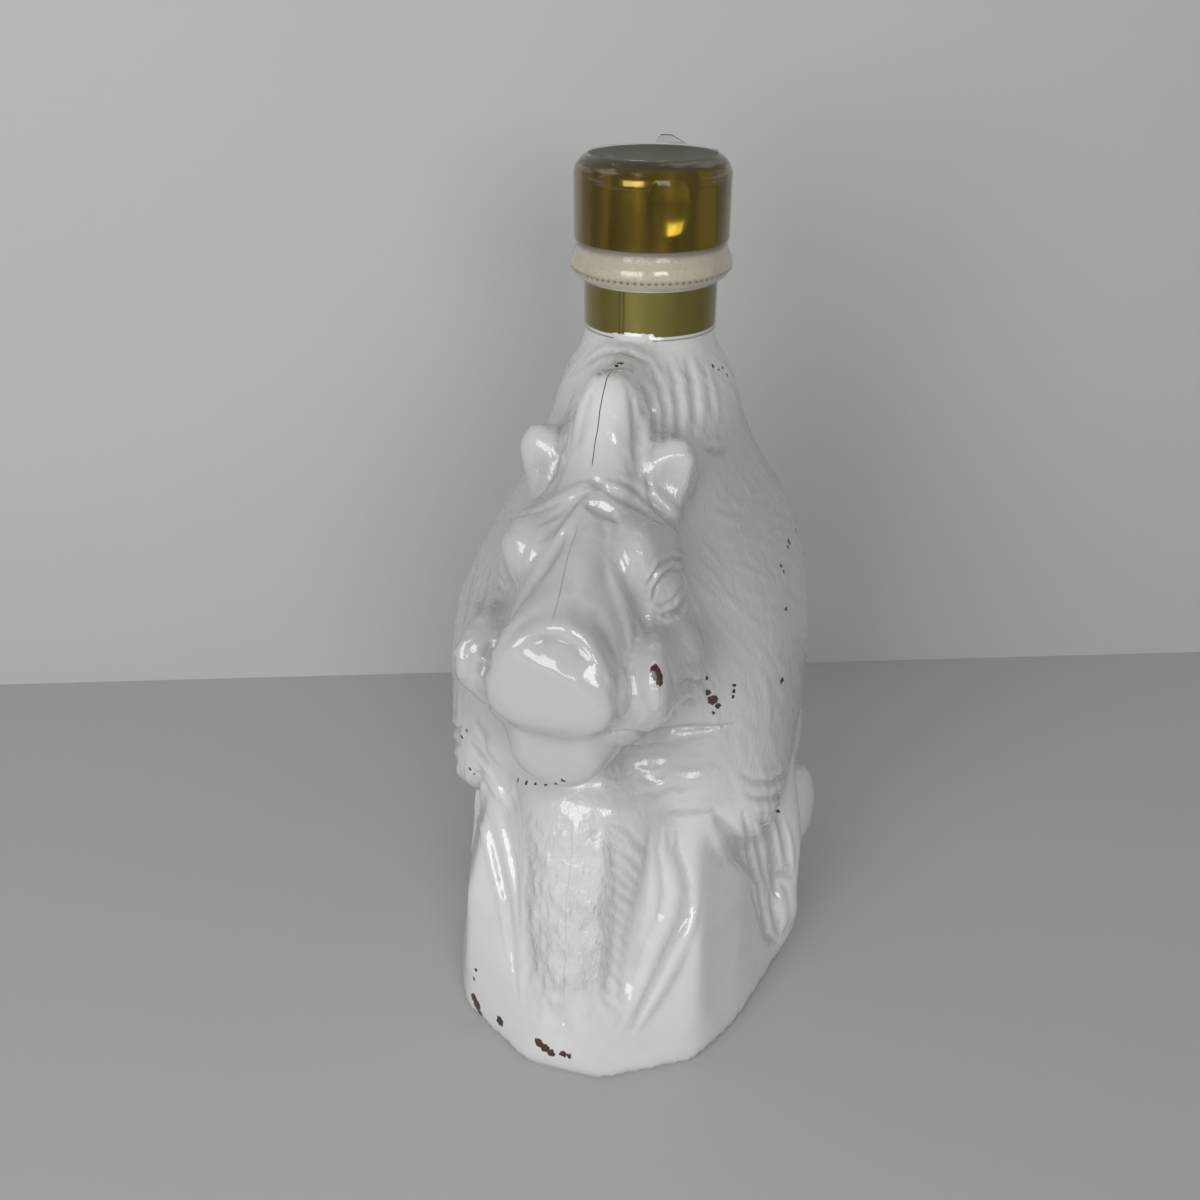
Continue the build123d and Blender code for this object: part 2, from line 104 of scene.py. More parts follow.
# Faces that the photograph shows are made finer: those turned towards it by more than this, one being
# straight at it, and between these heights. Those of the face, between these columns and rows of its
# pixels and right of or above the nose, are finer still.
SEEN_FACING = -0.04
SEEN_HEIGHTS = (1.5 * MM, 177 * MM)
FACE_FACING = 0.1
FACE_COLUMNS = (495, 738)
FACE_ROWS = (478, 742)
NOSE_RIGHT = 618
NOSE_TOP = 545
# The rock's sides that look away are made coarser between these heights, and so is the hidden hollow
HIDDEN_FACING = -0.3
ROCK_HEIGHTS = (4 * MM, 62 * MM)
ROCK_LOSS = 0.55
HOLLOW_DETAIL = 0.35
# Bristle locks: how far apart they start, how many places are tried, and how many steps one has
LOCK_SPACING = 4.6 * MM
LOCK_TRIES = 9000
LOCK_STEPS = 5
# Fine carving in the photograph's pixels: tufts on the chest, furrows on the throat, and the slanting
# strokes down the edge of the chest
CHEST_TUFTS = 150
CHEST_COLUMNS = (526, 600)
CHEST_ROWS = (812, 1000)
THROAT_FURROWS = 46
THROAT_COLUMNS = (596, 690)
THROAT_ROWS = (745, 815)
FISHBONE_COUNT = 15
FISHBONE_TOP = 820
FISHBONE_STEP = 12.5

# Lamps and camera, in metres but for the sensor
KEY_PLACE = (-0.16, -0.70, 0.30)
KEY_SIZE = (0.40, 0.34)
FILL_PLACE = (0.34, -0.60, 0.36)
FILL_SIZE = (0.24, 0.24)
LAMP_AIM = Vector((0, 0, 0.12))
SENSOR_WIDTH = 36

# Strokes that carve the boar. Each is a width and a height in millimetres, where a negative height
# sinks the skin, and a path over the photograph in its pixels.
CREST_STROKES = [
    (3.0, 0.9, [(631, 385), (640, 398), (646, 415), (647, 440), (645, 470)]),
    (2.4, -0.9, [(626, 384), (633, 400), (636, 430), (636, 472)]),
    (2.6, 0.8, [(643, 378), (651, 390), (656, 404), (659, 430)]),
    (2.2, -0.7, [(638, 380), (648, 396), (652, 418), (652, 452)]),
    (2.4, 0.6, [(655, 366), (665, 385), (670, 410), (669, 440)]),
    (2.0, -0.5, [(652, 372), (661, 392), (665, 418), (663, 445)]),
    (2.4, 0.5, [(672, 358), (681, 380), (685, 410), (684, 436)]),
    (2.0, -0.5, [(667, 362), (675, 385), (678, 412), (676, 438)]),
    (2.4, 0.5, [(690, 352), (699, 378), (703, 405), (702, 430)]),
    (2.0, -0.5, [(684, 356), (691, 382), (694, 410), (693, 438)]),
    (2.2, 0.4, [(705, 358), (713, 385), (717, 412), (716, 435)]),
    (2.4, -0.5, [(596, 384), (588, 400), (581, 430), (575, 462)]),
    (2.2, 0.5, [(585, 388), (576, 408), (570, 435), (566, 462)]),
    (2.0, -0.5, [(577, 386), (568, 406), (562, 432), (560, 455)]),
    (2.6, 0.6, [(590, 370), (600, 360), (616, 357), (634, 362), (645, 374)]),
    (2.2, -0.7, [(596, 378), (606, 368), (622, 366), (634, 373)]),
    (2.2, 0.5, [(586, 358), (604, 350), (628, 349), (650, 358), (660, 370)]),
    (2.0, -0.5, [(584, 366), (600, 355), (626, 353), (646, 362)]),
]
FOREHEAD_STROKES = [
    (2.4, 0.7, [(590, 481), (572, 491), (550, 503), (528, 514)]),
    (2.0, -0.7, [(592, 489), (576, 500), (558, 514), (543, 524)]),
    (2.2, 0.7, [(588, 497), (576, 514), (562, 534), (548, 556)]),
    (2.0, -0.6, [(582, 494), (568, 512), (553, 530), (538, 545)]),
    (2.0, -0.6, [(572, 520), (560, 542), (546, 566), (530, 584)]),
    (2.2, 0.5, [(548, 520), (540, 536), (532, 552), (524, 570)]),
    (1.8, -0.5, [(505, 521), (520, 515), (540, 511), (560, 503)]),
    (2.4, 0.7, [(602, 480), (620, 488), (640, 500), (655, 514)]),
    (2.0, -0.7, [(600, 488), (618, 497), (636, 506), (652, 518), (668, 526)]),
    (2.4, 0.6, [(616, 474), (640, 486), (664, 502), (684, 522)]),
    (2.0, -0.6, [(610, 480), (632, 490), (656, 507), (674, 524), (684, 540)]),
    (2.6, -1.0, [(584, 503), (596, 508), (610, 514), (618, 522)]),
    (2.0, -0.8, [(588, 478), (598, 484), (606, 488)]),
]
BRIDGE_STROKES = [
    (4.0, -1.2, [(615, 520), (622, 548), (631, 578), (641, 606), (646, 632)]),
    (3.6, -1.0, [(566, 528), (552, 556), (534, 582), (520, 602), (509, 622)]),
    (5.0, 1.0, [(595, 520), (592, 545), (586, 570), (578, 592)]),
    (3.4, 0.8, [(606, 560), (618, 590), (628, 620), (630, 645)]),
    (4.5, -1.1, [
        (503, 650), (515, 629), (532, 614), (553, 606), (574, 608), (594, 618), (608, 636), (616, 660),
    ]),
    (3.0, 0.6, [
        (497, 668), (505, 652), (520, 638), (540, 628), (560, 628), (580, 638), (598, 656), (611, 680),
        (617, 704),
    ]),
]
LEFT_STROKES = [
    (4.5, 0.8, [(507, 525), (504, 545), (510, 570), (517, 586)]),
    (2.4, 0.6, [(470, 566), (462, 596), (457, 632)]),
    (2.0, -0.6, [(477, 562), (468, 592), (462, 630)]),
    (2.4, 0.6, [(486, 556), (477, 588), (470, 622)]),
    (2.0, -0.6, [(493, 556), (485, 590), (478, 624)]),
    (2.2, 0.5, [(500, 560), (494, 592), (487, 622)]),
    (2.4, 0.8, [(500, 622), (484, 630), (464, 643), (455, 656)]),
    (2.6, -0.9, [(500, 634), (490, 652), (484, 674), (486, 696)]),
    (2.0, 0.4, [(478, 714), (486, 726), (494, 738)]),
    (2.0, -0.6, [(474, 720), (482, 734), (488, 748)]),
    (2.2, 0.6, [(484, 738), (492, 750), (500, 762)]),
    (2.0, -0.6, [(470, 742), (480, 756), (490, 768)]),
    (2.2, 0.6, [(476, 756), (486, 768), (496, 782)]),
    (2.0, -0.6, [(470, 768), (482, 782), (494, 798)]),
    (2.4, 0.6, [(484, 776), (496, 790), (508, 806)]),
    (2.0, -0.6, [(498, 780), (508, 796), (518, 812)]),
]
EYE_STROKES = [
    (1.6, 0.7, [(649, 606), (650, 588), (659, 572), (672, 563), (686, 566)]),
    (1.5, 0.6, [(649, 606), (660, 611), (674, 606), (684, 592), (687, 572)]),
    (1.3, -0.7, [(653, 602), (655, 588), (663, 576), (674, 569), (682, 572)]),
    (1.3, -0.6, [(654, 603), (664, 606), (674, 600), (681, 588), (683, 574)]),
    (1.6, 0.5, [(645, 600), (647, 580), (657, 562), (672, 553), (688, 556)]),
    (1.3, -0.5, [(647, 604), (648, 584), (658, 566), (672, 558), (687, 561)]),
    (1.5, 0.4, [(656, 617), (668, 620), (682, 614), (690, 602)]),
    (1.2, -0.4, [(654, 613), (666, 616), (680, 610), (688, 596)]),
]
MUZZLE_STROKES = [
    (2.6, -0.4, [(633, 664), (635, 686), (636, 712), (636, 726)]),
    (2.6, 0.6, [(621, 664), (623, 690), (622, 716)]),
    (2.6, -0.4, [(666, 655), (673, 680), (677, 705), (676, 726)]),
    (2.2, 0.7, [(672, 678), (686, 670), (700, 673), (711, 686), (716, 700)]),
    (1.8, -0.7, [(677, 686), (689, 679), (700, 683), (707, 694), (709, 706)]),
    (1.8, 0.6, [(678, 697), (688, 692), (697, 697), (702, 708)]),
    (1.6, -0.6, [(681, 706), (690, 702), (697, 710)]),
    (2.0, -1.3, [(606, 733), (624, 731), (650, 735), (668, 731), (690, 728), (714, 727), (734, 724)]),
    (2.0, 0.6, [(612, 740), (636, 742), (664, 740), (692, 736), (720, 733)]),
]
EAR_STROKES = [
    (1.6, -1.0, [(560, 424), (559, 446), (554, 472), (545, 490), (535, 500)]),
    (1.6, -0.8, [(646, 474), (649, 490), (657, 506), (670, 515)]),
    (1.5, 0.5, [(653, 462), (672, 456), (693, 455)]),
    (1.5, 0.5, [(693, 458), (695, 474), (690, 492), (681, 507)]),
    (1.8, 0.6, [(704, 444), (716, 445), (730, 447)]),
    (1.6, -0.7, [(704, 450), (717, 451), (730, 453)]),
]
HIND_STROKES = [
    (4.5, -1.8, [(712, 812), (728, 834), (746, 858), (760, 884)]),
    (2.2, -1.2, [(742, 812), (750, 842), (757, 876), (764, 912), (770, 946)]),
    (1.8, 0.8, [(752, 812), (760, 838), (766, 866), (771, 894)]),
    (1.6, -0.8, [(758, 812), (766, 838), (772, 862), (776, 886)]),
    (1.8, 0.8, [(766, 808), (774, 832), (779, 856), (783, 880)]),
    (1.6, -0.8, [(774, 808), (781, 832), (786, 856), (789, 878)]),
    (1.8, 0.7, [(781, 812), (788, 836), (791, 858), (793, 876)]),
    (1.6, -0.7, [(762, 846), (768, 868), (774, 888), (778, 902)]),
    (3.0, 0.9, [(776, 884), (780, 900), (783, 918), (782, 932)]),
    (1.6, -0.8, [(768, 888), (772, 906), (776, 924), (779, 938)]),
]
LEG_STROKES = [
    (4.0, 0.8, [(603, 820), (602, 870), (601, 930), (600, 1000)]),
    (4.0, 0.7, [(523, 830), (523, 880), (522, 940), (521, 1000)]),
    (3.0, -0.8, [(650, 828), (645, 870), (635, 920), (624, 980), (618, 1010)]),
    (2.0, 0.5, [(476, 806), (488, 850), (500, 900), (508, 950), (514, 995)]),
    (2.0, -0.6, [(484, 806), (496, 850), (507, 900), (513, 950), (517, 990)]),
    (2.0, 0.5, [(492, 804), (504, 846), (513, 890), (518, 940)]),
    (2.0, -0.6, [(500, 806), (510, 840), (518, 880), (521, 930)]),
    (2.2, 0.5, [(508, 804), (516, 830), (522, 860)]),
    (3.6, 0.9, [
        (664, 828), (663, 850), (669, 870), (673, 890), (670, 915), (658, 945), (641, 985), (622, 1029),
    ]),
    (3.2, -0.8, [
        (676, 832), (677, 852), (684, 872), (687, 892), (682, 916), (669, 945), (652, 985), (632, 1029),
    ]),
    (2.8, 0.9, [(699, 900), (692, 926), (677, 952), (663, 980), (636, 1032)]),
    (2.4, -0.4, [(650, 850), (648, 876), (645, 913), (640, 946), (630, 985)]),
    (2.4, -1.0, [(750, 884), (758, 912), (768, 938), (784, 948)]),
    (2.4, -0.6, [(770, 878), (782, 874), (796, 880)]),
]
WRINKLE_STROKES = [
    (2.0, 0.5, [(742, 768), (756, 776), (772, 776), (786, 768)]),
    (1.8, -0.5, [(740, 775), (755, 783), (772, 783), (786, 775)]),
    (2.0, 0.5, [(740, 784), (756, 792), (773, 791), (787, 783)]),
    (1.8, -0.5, [(742, 793), (757, 800), (773, 799), (786, 791)]),
    (2.0, 0.5, [(746, 803), (759, 809), (773, 807), (784, 800)]),
    (2.0, -0.6, [(762, 812), (768, 840), (772, 868), (776, 884)]),
    (2.0, 0.5, [(770, 806), (776, 836), (780, 862), (784, 882)]),
    (2.0, -0.6, [(752, 816), (757, 846), (762, 872), (768, 890)]),
    (2.0, 0.5, [(757, 808), (764, 838), (768, 866), (772, 884)]),
    (2.0, -0.5, [(783, 826), (787, 848), (789, 868)]),
]

# Dents and bumps: places in the photograph, a radius and a height in millimetres
LUMPS = [
    (540, 634, 8.0, -1.7), (566, 640, 9.0, -2.2), (592, 654, 9.0, -2.2), (610, 684, 7.0, -1.2),
    (512, 560, 8.0, 0.8), (706, 789, 7.0, 0.8), (655, 800, 12.0, -1.0),
    (671, 482, 7.5, -1.6), (543, 468, 6.5, -1.2), (650, 736, 6.0, 1.2), (530, 545, 8.0, 0.9),
    (780, 912, 8.5, 1.6),
]
# Chips in the coat: places in the photograph and radii, all in its pixels
CHIPS = [
    (655, 669, 4.4), (658, 676, 5.0), (660, 682, 3.6), (713, 700, 4.6), (708, 692, 2.4), (718, 706, 2.4),
    (620, 363, 2.4), (617, 366, 1.6), (569, 365, 1.2), (713, 366, 1.5), (719, 370, 1.1), (727, 375, 1.4),
    (723, 368, 1.0), (786, 488, 1.3), (796, 530, 1.8), (789, 542, 2.6), (788, 547, 1.8), (781, 566, 1.5),
    (784, 572, 1.1), (786, 609, 1.5), (782, 680, 2.7), (735, 685, 1.2), (734, 691, 1.2), (733, 697, 1.2),
    (707, 678, 1.2), (453, 680, 1.6), (452, 685, 1.6), (518, 780, 1.3), (526, 783, 1.5), (535, 784, 1.2),
    (546, 785, 0.9), (556, 784, 1.2), (563, 781, 1.3), (476, 970, 1.4), (474, 979, 1.4), (474, 998, 4.4),
    (477, 1005, 5.4), (480, 1013, 4.2), (500, 1021, 4.6), (539, 1043, 4.2), (545, 1048, 4.6),
    (551, 1053, 3.8), (563, 1054, 3.2), (569, 1056, 2.6), (462, 737, 1.3), (470, 769, 1.1),
    (467, 731, 1.0), (474, 774, 1.0),
    (778, 797, 1.2), (778, 811, 1.3), (799, 898, 1.2), (714, 713, 1.4),
]


class DecanterSizes(bpy.types.PropertyGroup):
    """Sizes that change how finely the decanter is dressed."""

    skin_step: FloatProperty(
        name="Skin step", description="Spacing of the boar's skin", default=1.74 * MM, unit="LENGTH"
    )
    relief: FloatProperty(name="Relief", description="Strength of all carving on the boar", default=1.0)
    film_segments: IntProperty(
        name="Film segments", description="Segments round the film and the band", default=240
    )
    film_crinkle: FloatProperty(
        name="Film crinkle", description="How deep the film's wrinkles are", default=0.17 * MM, unit="LENGTH"
    )


class DecanterFinish(bpy.types.PropertyGroup):
    """Colours of the decanter."""

    coat: FloatVectorProperty(
        name="White coat",
        description="Glossy coat on the glass",
        subtype="COLOR",
        default=(0.76, 0.765, 0.75),
    )
    glass: FloatVectorProperty(
        name="Bare glass",
        description="Brown glass where the coat is chipped",
        subtype="COLOR",
        default=(0.045, 0.018, 0.01),
    )
    cap_gold: FloatVectorProperty(
        name="Cap gold",
        description="Metallised plastic of the cap",
        subtype="COLOR",
        default=(0.28, 0.185, 0.010),
    )
    band_gold: FloatVectorProperty(
        name="Band gold", description="Foil of the neck band", subtype="COLOR", default=(0.21, 0.18, 0.03)
    )
    film: FloatVectorProperty(
        name="Film", description="Aged clear film", subtype="COLOR", default=(0.80, 0.76, 0.64)
    )


class StageSettings(bpy.types.PropertyGroup):
    """Floor, wall and lamps."""

    floor_colour: FloatVectorProperty(
        name="Floor", description="Colour of the table", subtype="COLOR", default=(0.57, 0.57, 0.55)
    )
    wall_colour: FloatVectorProperty(
        name="Wall", description="Colour of the wall", subtype="COLOR", default=(0.62, 0.62, 0.605)
    )
    key_power: FloatProperty(name="Key", description="Power of the large lamp", default=2.0, unit="POWER")
    fill_power: FloatProperty(name="Fill", description="Power of the side lamp", default=1.1, unit="POWER")
    sky: FloatProperty(name="Sky", description="Strength of the even light", default=0.30)


# Mesh helpers


def deselect():
    """Leaves edit mode and selects nothing."""
    if bpy.context.object and bpy.context.object.mode != "OBJECT":
        bpy.ops.object.mode_set(mode="OBJECT")
    bpy.ops.object.select_all(action="DESELECT")


def take(piece):
    """Makes the piece the only selected and active object."""
    deselect()
    piece.select_set(True)
    bpy.context.view_layer.objects.active = piece


def apply_modifier(piece, kind, **settings):
    """Adds a modifier to the piece and applies it."""
    take(piece)
    modifier = piece.modifiers.new(kind.lower(), kind)
    for key, value in settings.items():
        setattr(modifier, key, value)
    bpy.ops.object.modifier_apply(modifier=modifier.name)


def piece_from(name, bm):
    """A new object from a bmesh, linked to the scene."""
    mesh = bpy.data.meshes.new(name)
    bm.to_mesh(mesh)
    bm.free()
    piece = bpy.data.objects.new(name, mesh)
    bpy.context.scene.collection.objects.link(piece)
    return piece


def read_vectors(items, key):
    """One vector of every item, as an array."""
    flat = np.empty(3 * len(items))
    items.foreach_get(key, flat)
    return flat.reshape(-1, 3)


def move_vertices(piece, places):
    """Sets the places of the piece's vertices."""
    piece.data.vertices.foreach_set("co", places.ravel())
    piece.data.update()


def look_frame():
    """Right, up and forward directions of the photograph's camera."""
    forward = Vector((
        -math.sin(LOOK_TURN) * math.cos(LOOK_DROP),
        math.cos(LOOK_TURN) * math.cos(LOOK_DROP),
        -math.sin(LOOK_DROP),
    ))
    right = forward.cross(Vector((0, 0, 1))).normalized()
    return right, right.cross(forward), forward


class Skin:
    """The boar's skin, and the strokes that carve it."""

    # A stroke tapers by this power of a sine, and its width never falls below this share
    taper_power = 0.6
    least_width = 0.3
    # How far one round of smoothing moves a vertex towards its neighbours' middle
    relax_step = 0.6

    def __init__(self, piece):
        self.piece = piece
        self.refresh()

    def refresh(self):
        """Reads the skin's present shape."""
        self.places = read_vectors(self.piece.data.vertices, "co")
        self.normals = read_vectors(self.piece.data.vertices, "normal")
        self.tree = BVHTree.FromObject(self.piece, bpy.context.evaluated_depsgraph_get())

    def store(self):
        """Writes the shape back and reads its new normals."""
        move_vertices(self.piece, self.places)
        self.refresh()

    def at_pixel(self, across, down):
        """Where the ray through a pixel of the photograph meets the skin."""
        right, up, forward = look_frame()
        half = PHOTO_SIZE / 2
        ray = forward + right * ((across - half) / LENS_PIXELS) - up * ((down - half) / LENS_PIXELS)
        return self.tree.ray_cast(EYE, ray.normalized())[0]

    def pixel_path(self, pixels, step=5.0):
        """Places on the skin along a path of photograph pixels."""
        found = []
        for (ax, ay), (bx, by) in zip(pixels, pixels[1:]):
            count = max(1, round(math.hypot(bx - ax, by - ay) / step))
            for k in range(count + (pixels[-1] == (bx, by))):
                place = self.at_pixel(ax + (bx - ax) * k / count, ay + (by - ay) * k / count)
                if place is not None:
                    found.append(place)
        return found

    def stroke(self, path, width, height, mirrored=False):
        """Raises the skin along a path that tapers to its ends, or sinks it where height is negative."""
        if len(path) < 2:
            return
        line = np.array([tuple(place) for place in path])
        if mirrored:
            line = line * np.array([-1, 1, 1])
        low = line.min(axis=0) - width
        high = line.max(axis=0) + width
        near = np.nonzero(((self.places > low) & (self.places < high)).all(axis=1))[0]
        if not len(near):
            return
        here = self.places[near]
        best = np.full(len(near), np.inf)
        along = np.zeros(len(near))
        runs = np.linalg.norm(np.diff(line, axis=0), axis=1)
        total = max(runs.sum(), 1e-9)
        done = 0.0
        for start, end, run in zip(line, line[1:], runs):
            course = end - start
            share = np.clip(((here - start) @ course) / max(run * run, 1e-12), 0, 1)
            away = np.linalg.norm(here - start - share[:, None] * course, axis=1)
            closer = away < best
            best[closer] = away[closer]
            along[closer] = (done + share[closer] * run) / total
            done += run
        taper = np.sin(np.pi * np.clip(along, 0.02, 0.98)) ** self.taper_power
        reach = np.clip(1 - (best / (width * np.maximum(taper, self.least_width))) ** 2, 0, 1) ** 2
        self.places[near] += self.normals[near] * (height * reach * taper)[:, None]

    def blob(self, centre, radius, height, mirrored=False):
        """Raises or sinks a round patch of the skin."""
        for side in ((1, -1) if mirrored else (1,)):
            middle = np.array((centre[0] * side, centre[1], centre[2]))
            share = ((self.places - middle) ** 2).sum(axis=1) / radius ** 2
            near = share < 1
            self.places[near] += self.normals[near] * (height * (1 - share[near]) ** 2)[:, None]

    def pixel_strokes(self, strokes, strength, mirrored=False):
        """Carves strokes that are given over the photograph, and their mirror images where asked."""
        for width, height, pixels in strokes:
            line = self.pixel_path(pixels)
            self.stroke(line, width * MM, height * MM * strength)
            if mirrored:
                self.stroke(line, width * MM, height * MM * strength, mirrored=True)

    def relax(self, shares, rounds):
        """Smooths the skin by as many rounds, each vertex by its share."""
        edges = np.empty(2 * len(self.piece.data.edges), dtype=np.int64)
        self.piece.data.edges.foreach_get("vertices", edges)
        first, second = edges.reshape(-1, 2).T
        count = len(self.places)
        degree = np.bincount(first, minlength=count) + np.bincount(second, minlength=count)
        for _ in range(rounds):
            mean = np.empty_like(self.places)
            for axis in range(3):
                values = self.places[:, axis]
                total = np.bincount(first, values[second], count)
                total += np.bincount(second, values[first], count)
                mean[:, axis] = total / np.maximum(degree, 1)
            self.places += (mean - self.places) * (self.relax_step * shares)[:, None]

    def flow_path(self, start, steps, length, drift):
        """A path over the skin from a place, along the lie of the coat."""
        found = [start]
        here = start
        for step in range(steps):
            _, normal, _, _ = self.tree.find_nearest(here)
            course = coat_direction(here)
            course = course - normal * course.dot(normal)
            if course.length < 1e-6:
                break
            side = normal.cross(course).normalized()
            ahead = course.normalized() + side * drift * math.sin(2.2 * step / steps)
            here, _, _, _ = self.tree.find_nearest(here + ahead.normalized() * length)
            found.append(here)
        return found


def split_bottle():
    """The bottle's outer skin, and its lining with the finish, parted behind the band."""
    bm = bmesh.new()
    bm.from_mesh(frame["nodes"]["glass_bottle"].data)
    bmesh.ops.remove_doubles(bm, verts=bm.verts, dist=1e-6)
    everything = bm.verts[:] + bm.edges[:] + bm.faces[:]
    bmesh.ops.bisect_plane(bm, geom=everything, plane_co=(0, 0, SEAM), plane_no=(0, 0, 1), dist=1e-7)
    bm.faces.ensure_lookup_table()
    start = min(bm.faces, key=lambda face: face.calc_center_median().y)
    outer = {start}
    front = [start]
    while front:
        face = front.pop()
        for edge in face.edges:
            if all(abs(vert.co.z - SEAM) < 1e-6 for vert in edge.verts):
                continue
            for other in edge.link_faces:
                if other not in outer:
                    outer.add(other)
                    front.append(other)
    bm.faces.index_update()
    numbers = {face.index for face in outer}
    lining = bm.copy()
    lining.faces.index_update()
    bmesh.ops.delete(lining, geom=[face for face in lining.faces if face.index in numbers], context="FACES")
    bmesh.ops.delete(bm, geom=[face for face in bm.faces if face.index not in numbers], context="FACES")
    return piece_from("skin", bm), piece_from("lining", lining)


def thin_lining(lining):
    """Coarsens the hidden hollow, and leaves the finish above it as it is."""
    hidden = lining.vertex_groups.new(name="hidden")
    low = [vertex.index for vertex in lining.data.vertices if vertex.co.z < SEAM - 4 * MM]
    hidden.add(low, 1.0, "REPLACE")
    apply_modifier(lining, "DECIMATE", ratio=HOLLOW_DETAIL, vertex_group="hidden")
    lining.vertex_groups.clear()


def close_top(piece):
    """Raises the open neck a little past the seam and closes it, so that it can be remeshed."""
    take(piece)
    bpy.ops.object.mode_set(mode="EDIT")
    bpy.ops.mesh.select_all(action="DESELECT")
    bpy.ops.mesh.select_non_manifold()
    bpy.ops.mesh.extrude_region_move(TRANSFORM_OT_translate={"value": (0, 0, 4 * MM)})
    bpy.ops.mesh.edge_face_add()
    bpy.ops.object.mode_set(mode="OBJECT")


def add_oval(name, centre, radii, turn):
    """An ellipsoid, turned about the upright, that is later remeshed into the skin."""
    deselect()
    bpy.ops.mesh.primitive_uv_sphere_add(segments=24, ring_count=12, radius=1, location=centre)
    piece = bpy.context.object
    piece.name = name
    piece.scale = radii
    piece.rotation_euler = (0, 0, math.radians(turn))
    bpy.ops.object.transform_apply(location=True, rotation=True, scale=True)
    return piece


def join(pieces):
    """Joins the pieces into the first."""
    deselect()
    for piece in pieces:
        piece.select_set(True)
    bpy.context.view_layer.objects.active = pieces[0]
    bpy.ops.object.join()
    return pieces[0]


def even_skin(skin, step):
    """Remeshes the skin evenly and smooths it."""
    apply_modifier(skin, "REMESH", mode="VOXEL", voxel_size=step, use_smooth_shade=True)
    apply_modifier(skin, "SMOOTH", factor=0.5, iterations=8)


def face_middles(skin):
    """Middles and normals of the skin's faces."""
    return read_vectors(skin.data.polygons, "center"), read_vectors(skin.data.polygons, "normal")


def facing_camera(middles, normals):
    """How far each face turns towards the photograph's camera: one is straight at it."""
    ray = np.array(EYE) - middles
    ray /= np.linalg.norm(ray, axis=1)[:, None]
    return (normals * ray).sum(axis=1)


def seen_faces(skin):
    """Which faces of the boar and its rock the photograph shows."""
    middles, normals = face_middles(skin)
    low, high = SEEN_HEIGHTS
    return (facing_camera(middles, normals) > SEEN_FACING) & (middles[:, 2] > low) & (middles[:, 2] < high)


def to_pixels(places):
    """Where places lie in the photograph."""
    right, up, forward = (np.array(axis) for axis in look_frame())
    ray = places - np.array(EYE)
    depth = ray @ forward
    half = PHOTO_SIZE / 2
    return half + LENS_PIXELS * (ray @ right) / depth, half - LENS_PIXELS * (ray @ up) / depth


def face_region(skin):
    """Which faces belong to the forehead, the eye and the lips, where the finest carving is."""
    middles, normals = face_middles(skin)
    column, row = to_pixels(middles)
    inside = (column > FACE_COLUMNS[0]) & (column < FACE_COLUMNS[1])
    inside &= (row > FACE_ROWS[0]) & (row < FACE_ROWS[1])
    nose = (column < NOSE_RIGHT) & (row > NOSE_TOP)
    near = in_axis_frame(middles)[:, 1] < -30
    return (facing_camera(middles, normals) > FACE_FACING) & inside & ~nose & near


def thin_rock(skin):
    """Coarsens the hidden sides of the rock to about half their faces, above its lower edge."""
    places = read_vectors(skin.data.vertices, "co")
    normals = read_vectors(skin.data.vertices, "normal")
    low, high = ROCK_HEIGHTS
    plain = (places[:, 2] > low) & (places[:, 2] < high) & (facing_camera(places, normals) < HIDDEN_FACING)
    hidden = skin.vertex_groups.new(name="plain")
    hidden.add([int(number) for number in np.nonzero(plain)[0]], 1.0, "REPLACE")
    apply_modifier(skin, "DECIMATE", ratio=1 - ROCK_LOSS * plain.mean(), vertex_group="plain")
    skin.vertex_groups.clear()


def refine(skin, picked):
    """Subdivides the picked faces."""
    take(skin)
    mesh = skin.data
    bpy.ops.object.mode_set(mode="EDIT")
    bpy.ops.mesh.select_mode(type="FACE")
    bpy.ops.mesh.select_all(action="DESELECT")
    bpy.ops.object.mode_set(mode="OBJECT")
    mesh.polygons.foreach_set("select", picked.astype(bool))
    bpy.ops.object.mode_set(mode="EDIT")
    bpy.ops.mesh.subdivide(number_cuts=1, smoothness=0)
    bpy.ops.object.mode_set(mode="OBJECT")


def join_at_seam(skin, lining):
    """Cuts the skin at the seam and bridges it to the lining, so that the bottle is one closed mesh."""
    take(skin)
    bpy.ops.object.mode_set(mode="EDIT")
    bpy.ops.mesh.select_all(action="SELECT")
    bpy.ops.mesh.bisect(plane_co=(0, 0, SEAM - 0.5 * MM), plane_no=(0, 0, 1), clear_outer=True)
    bpy.ops.object.mode_set(mode="OBJECT")
    bottle = join([skin, lining])
    bpy.ops.object.mode_set(mode="EDIT")
    bpy.ops.mesh.select_mode(type="EDGE")
    bpy.ops.mesh.select_all(action="DESELECT")
    bpy.ops.mesh.select_non_manifold(
        extend=False, use_wire=False, use_multi_face=False, use_non_contiguous=False, use_verts=False
    )
    bpy.ops.mesh.bridge_edge_loops()
    bpy.ops.object.mode_set(mode="OBJECT")
    return bottle


# Carving of the boar


def in_axis_frame(places):
    """Places as across, along and up from the neck's axis, in millimetres."""
    return (places - np.array((AXIS.x, AXIS.y, 0))) / MM


def on_body(across, along, up):
    """A place given in millimetres from the neck's axis."""
    return Vector((AXIS.x + across * MM, AXIS.y + along * MM, up * MM))


def step_between(values, low, high):
    """A smooth step from nought at low to one at high."""
    share = np.clip((values - low) / (high - low), 0, 1)
    return share * share * (3 - 2 * share)


def coat_direction(place):
    """Which way the bristles lie at a place: back and down over the flanks, down the rump and the neck."""
    across, along, up = (place - AXIS) / MM
    if along < -30:
        return Vector((0.35 * math.copysign(1, across), 0.35, -1))
    back = 0.9 if up < 140 else 0.35
    return Vector((0.1 * math.copysign(1, across), back * (1 - max(along, 0) / 60), -0.75))


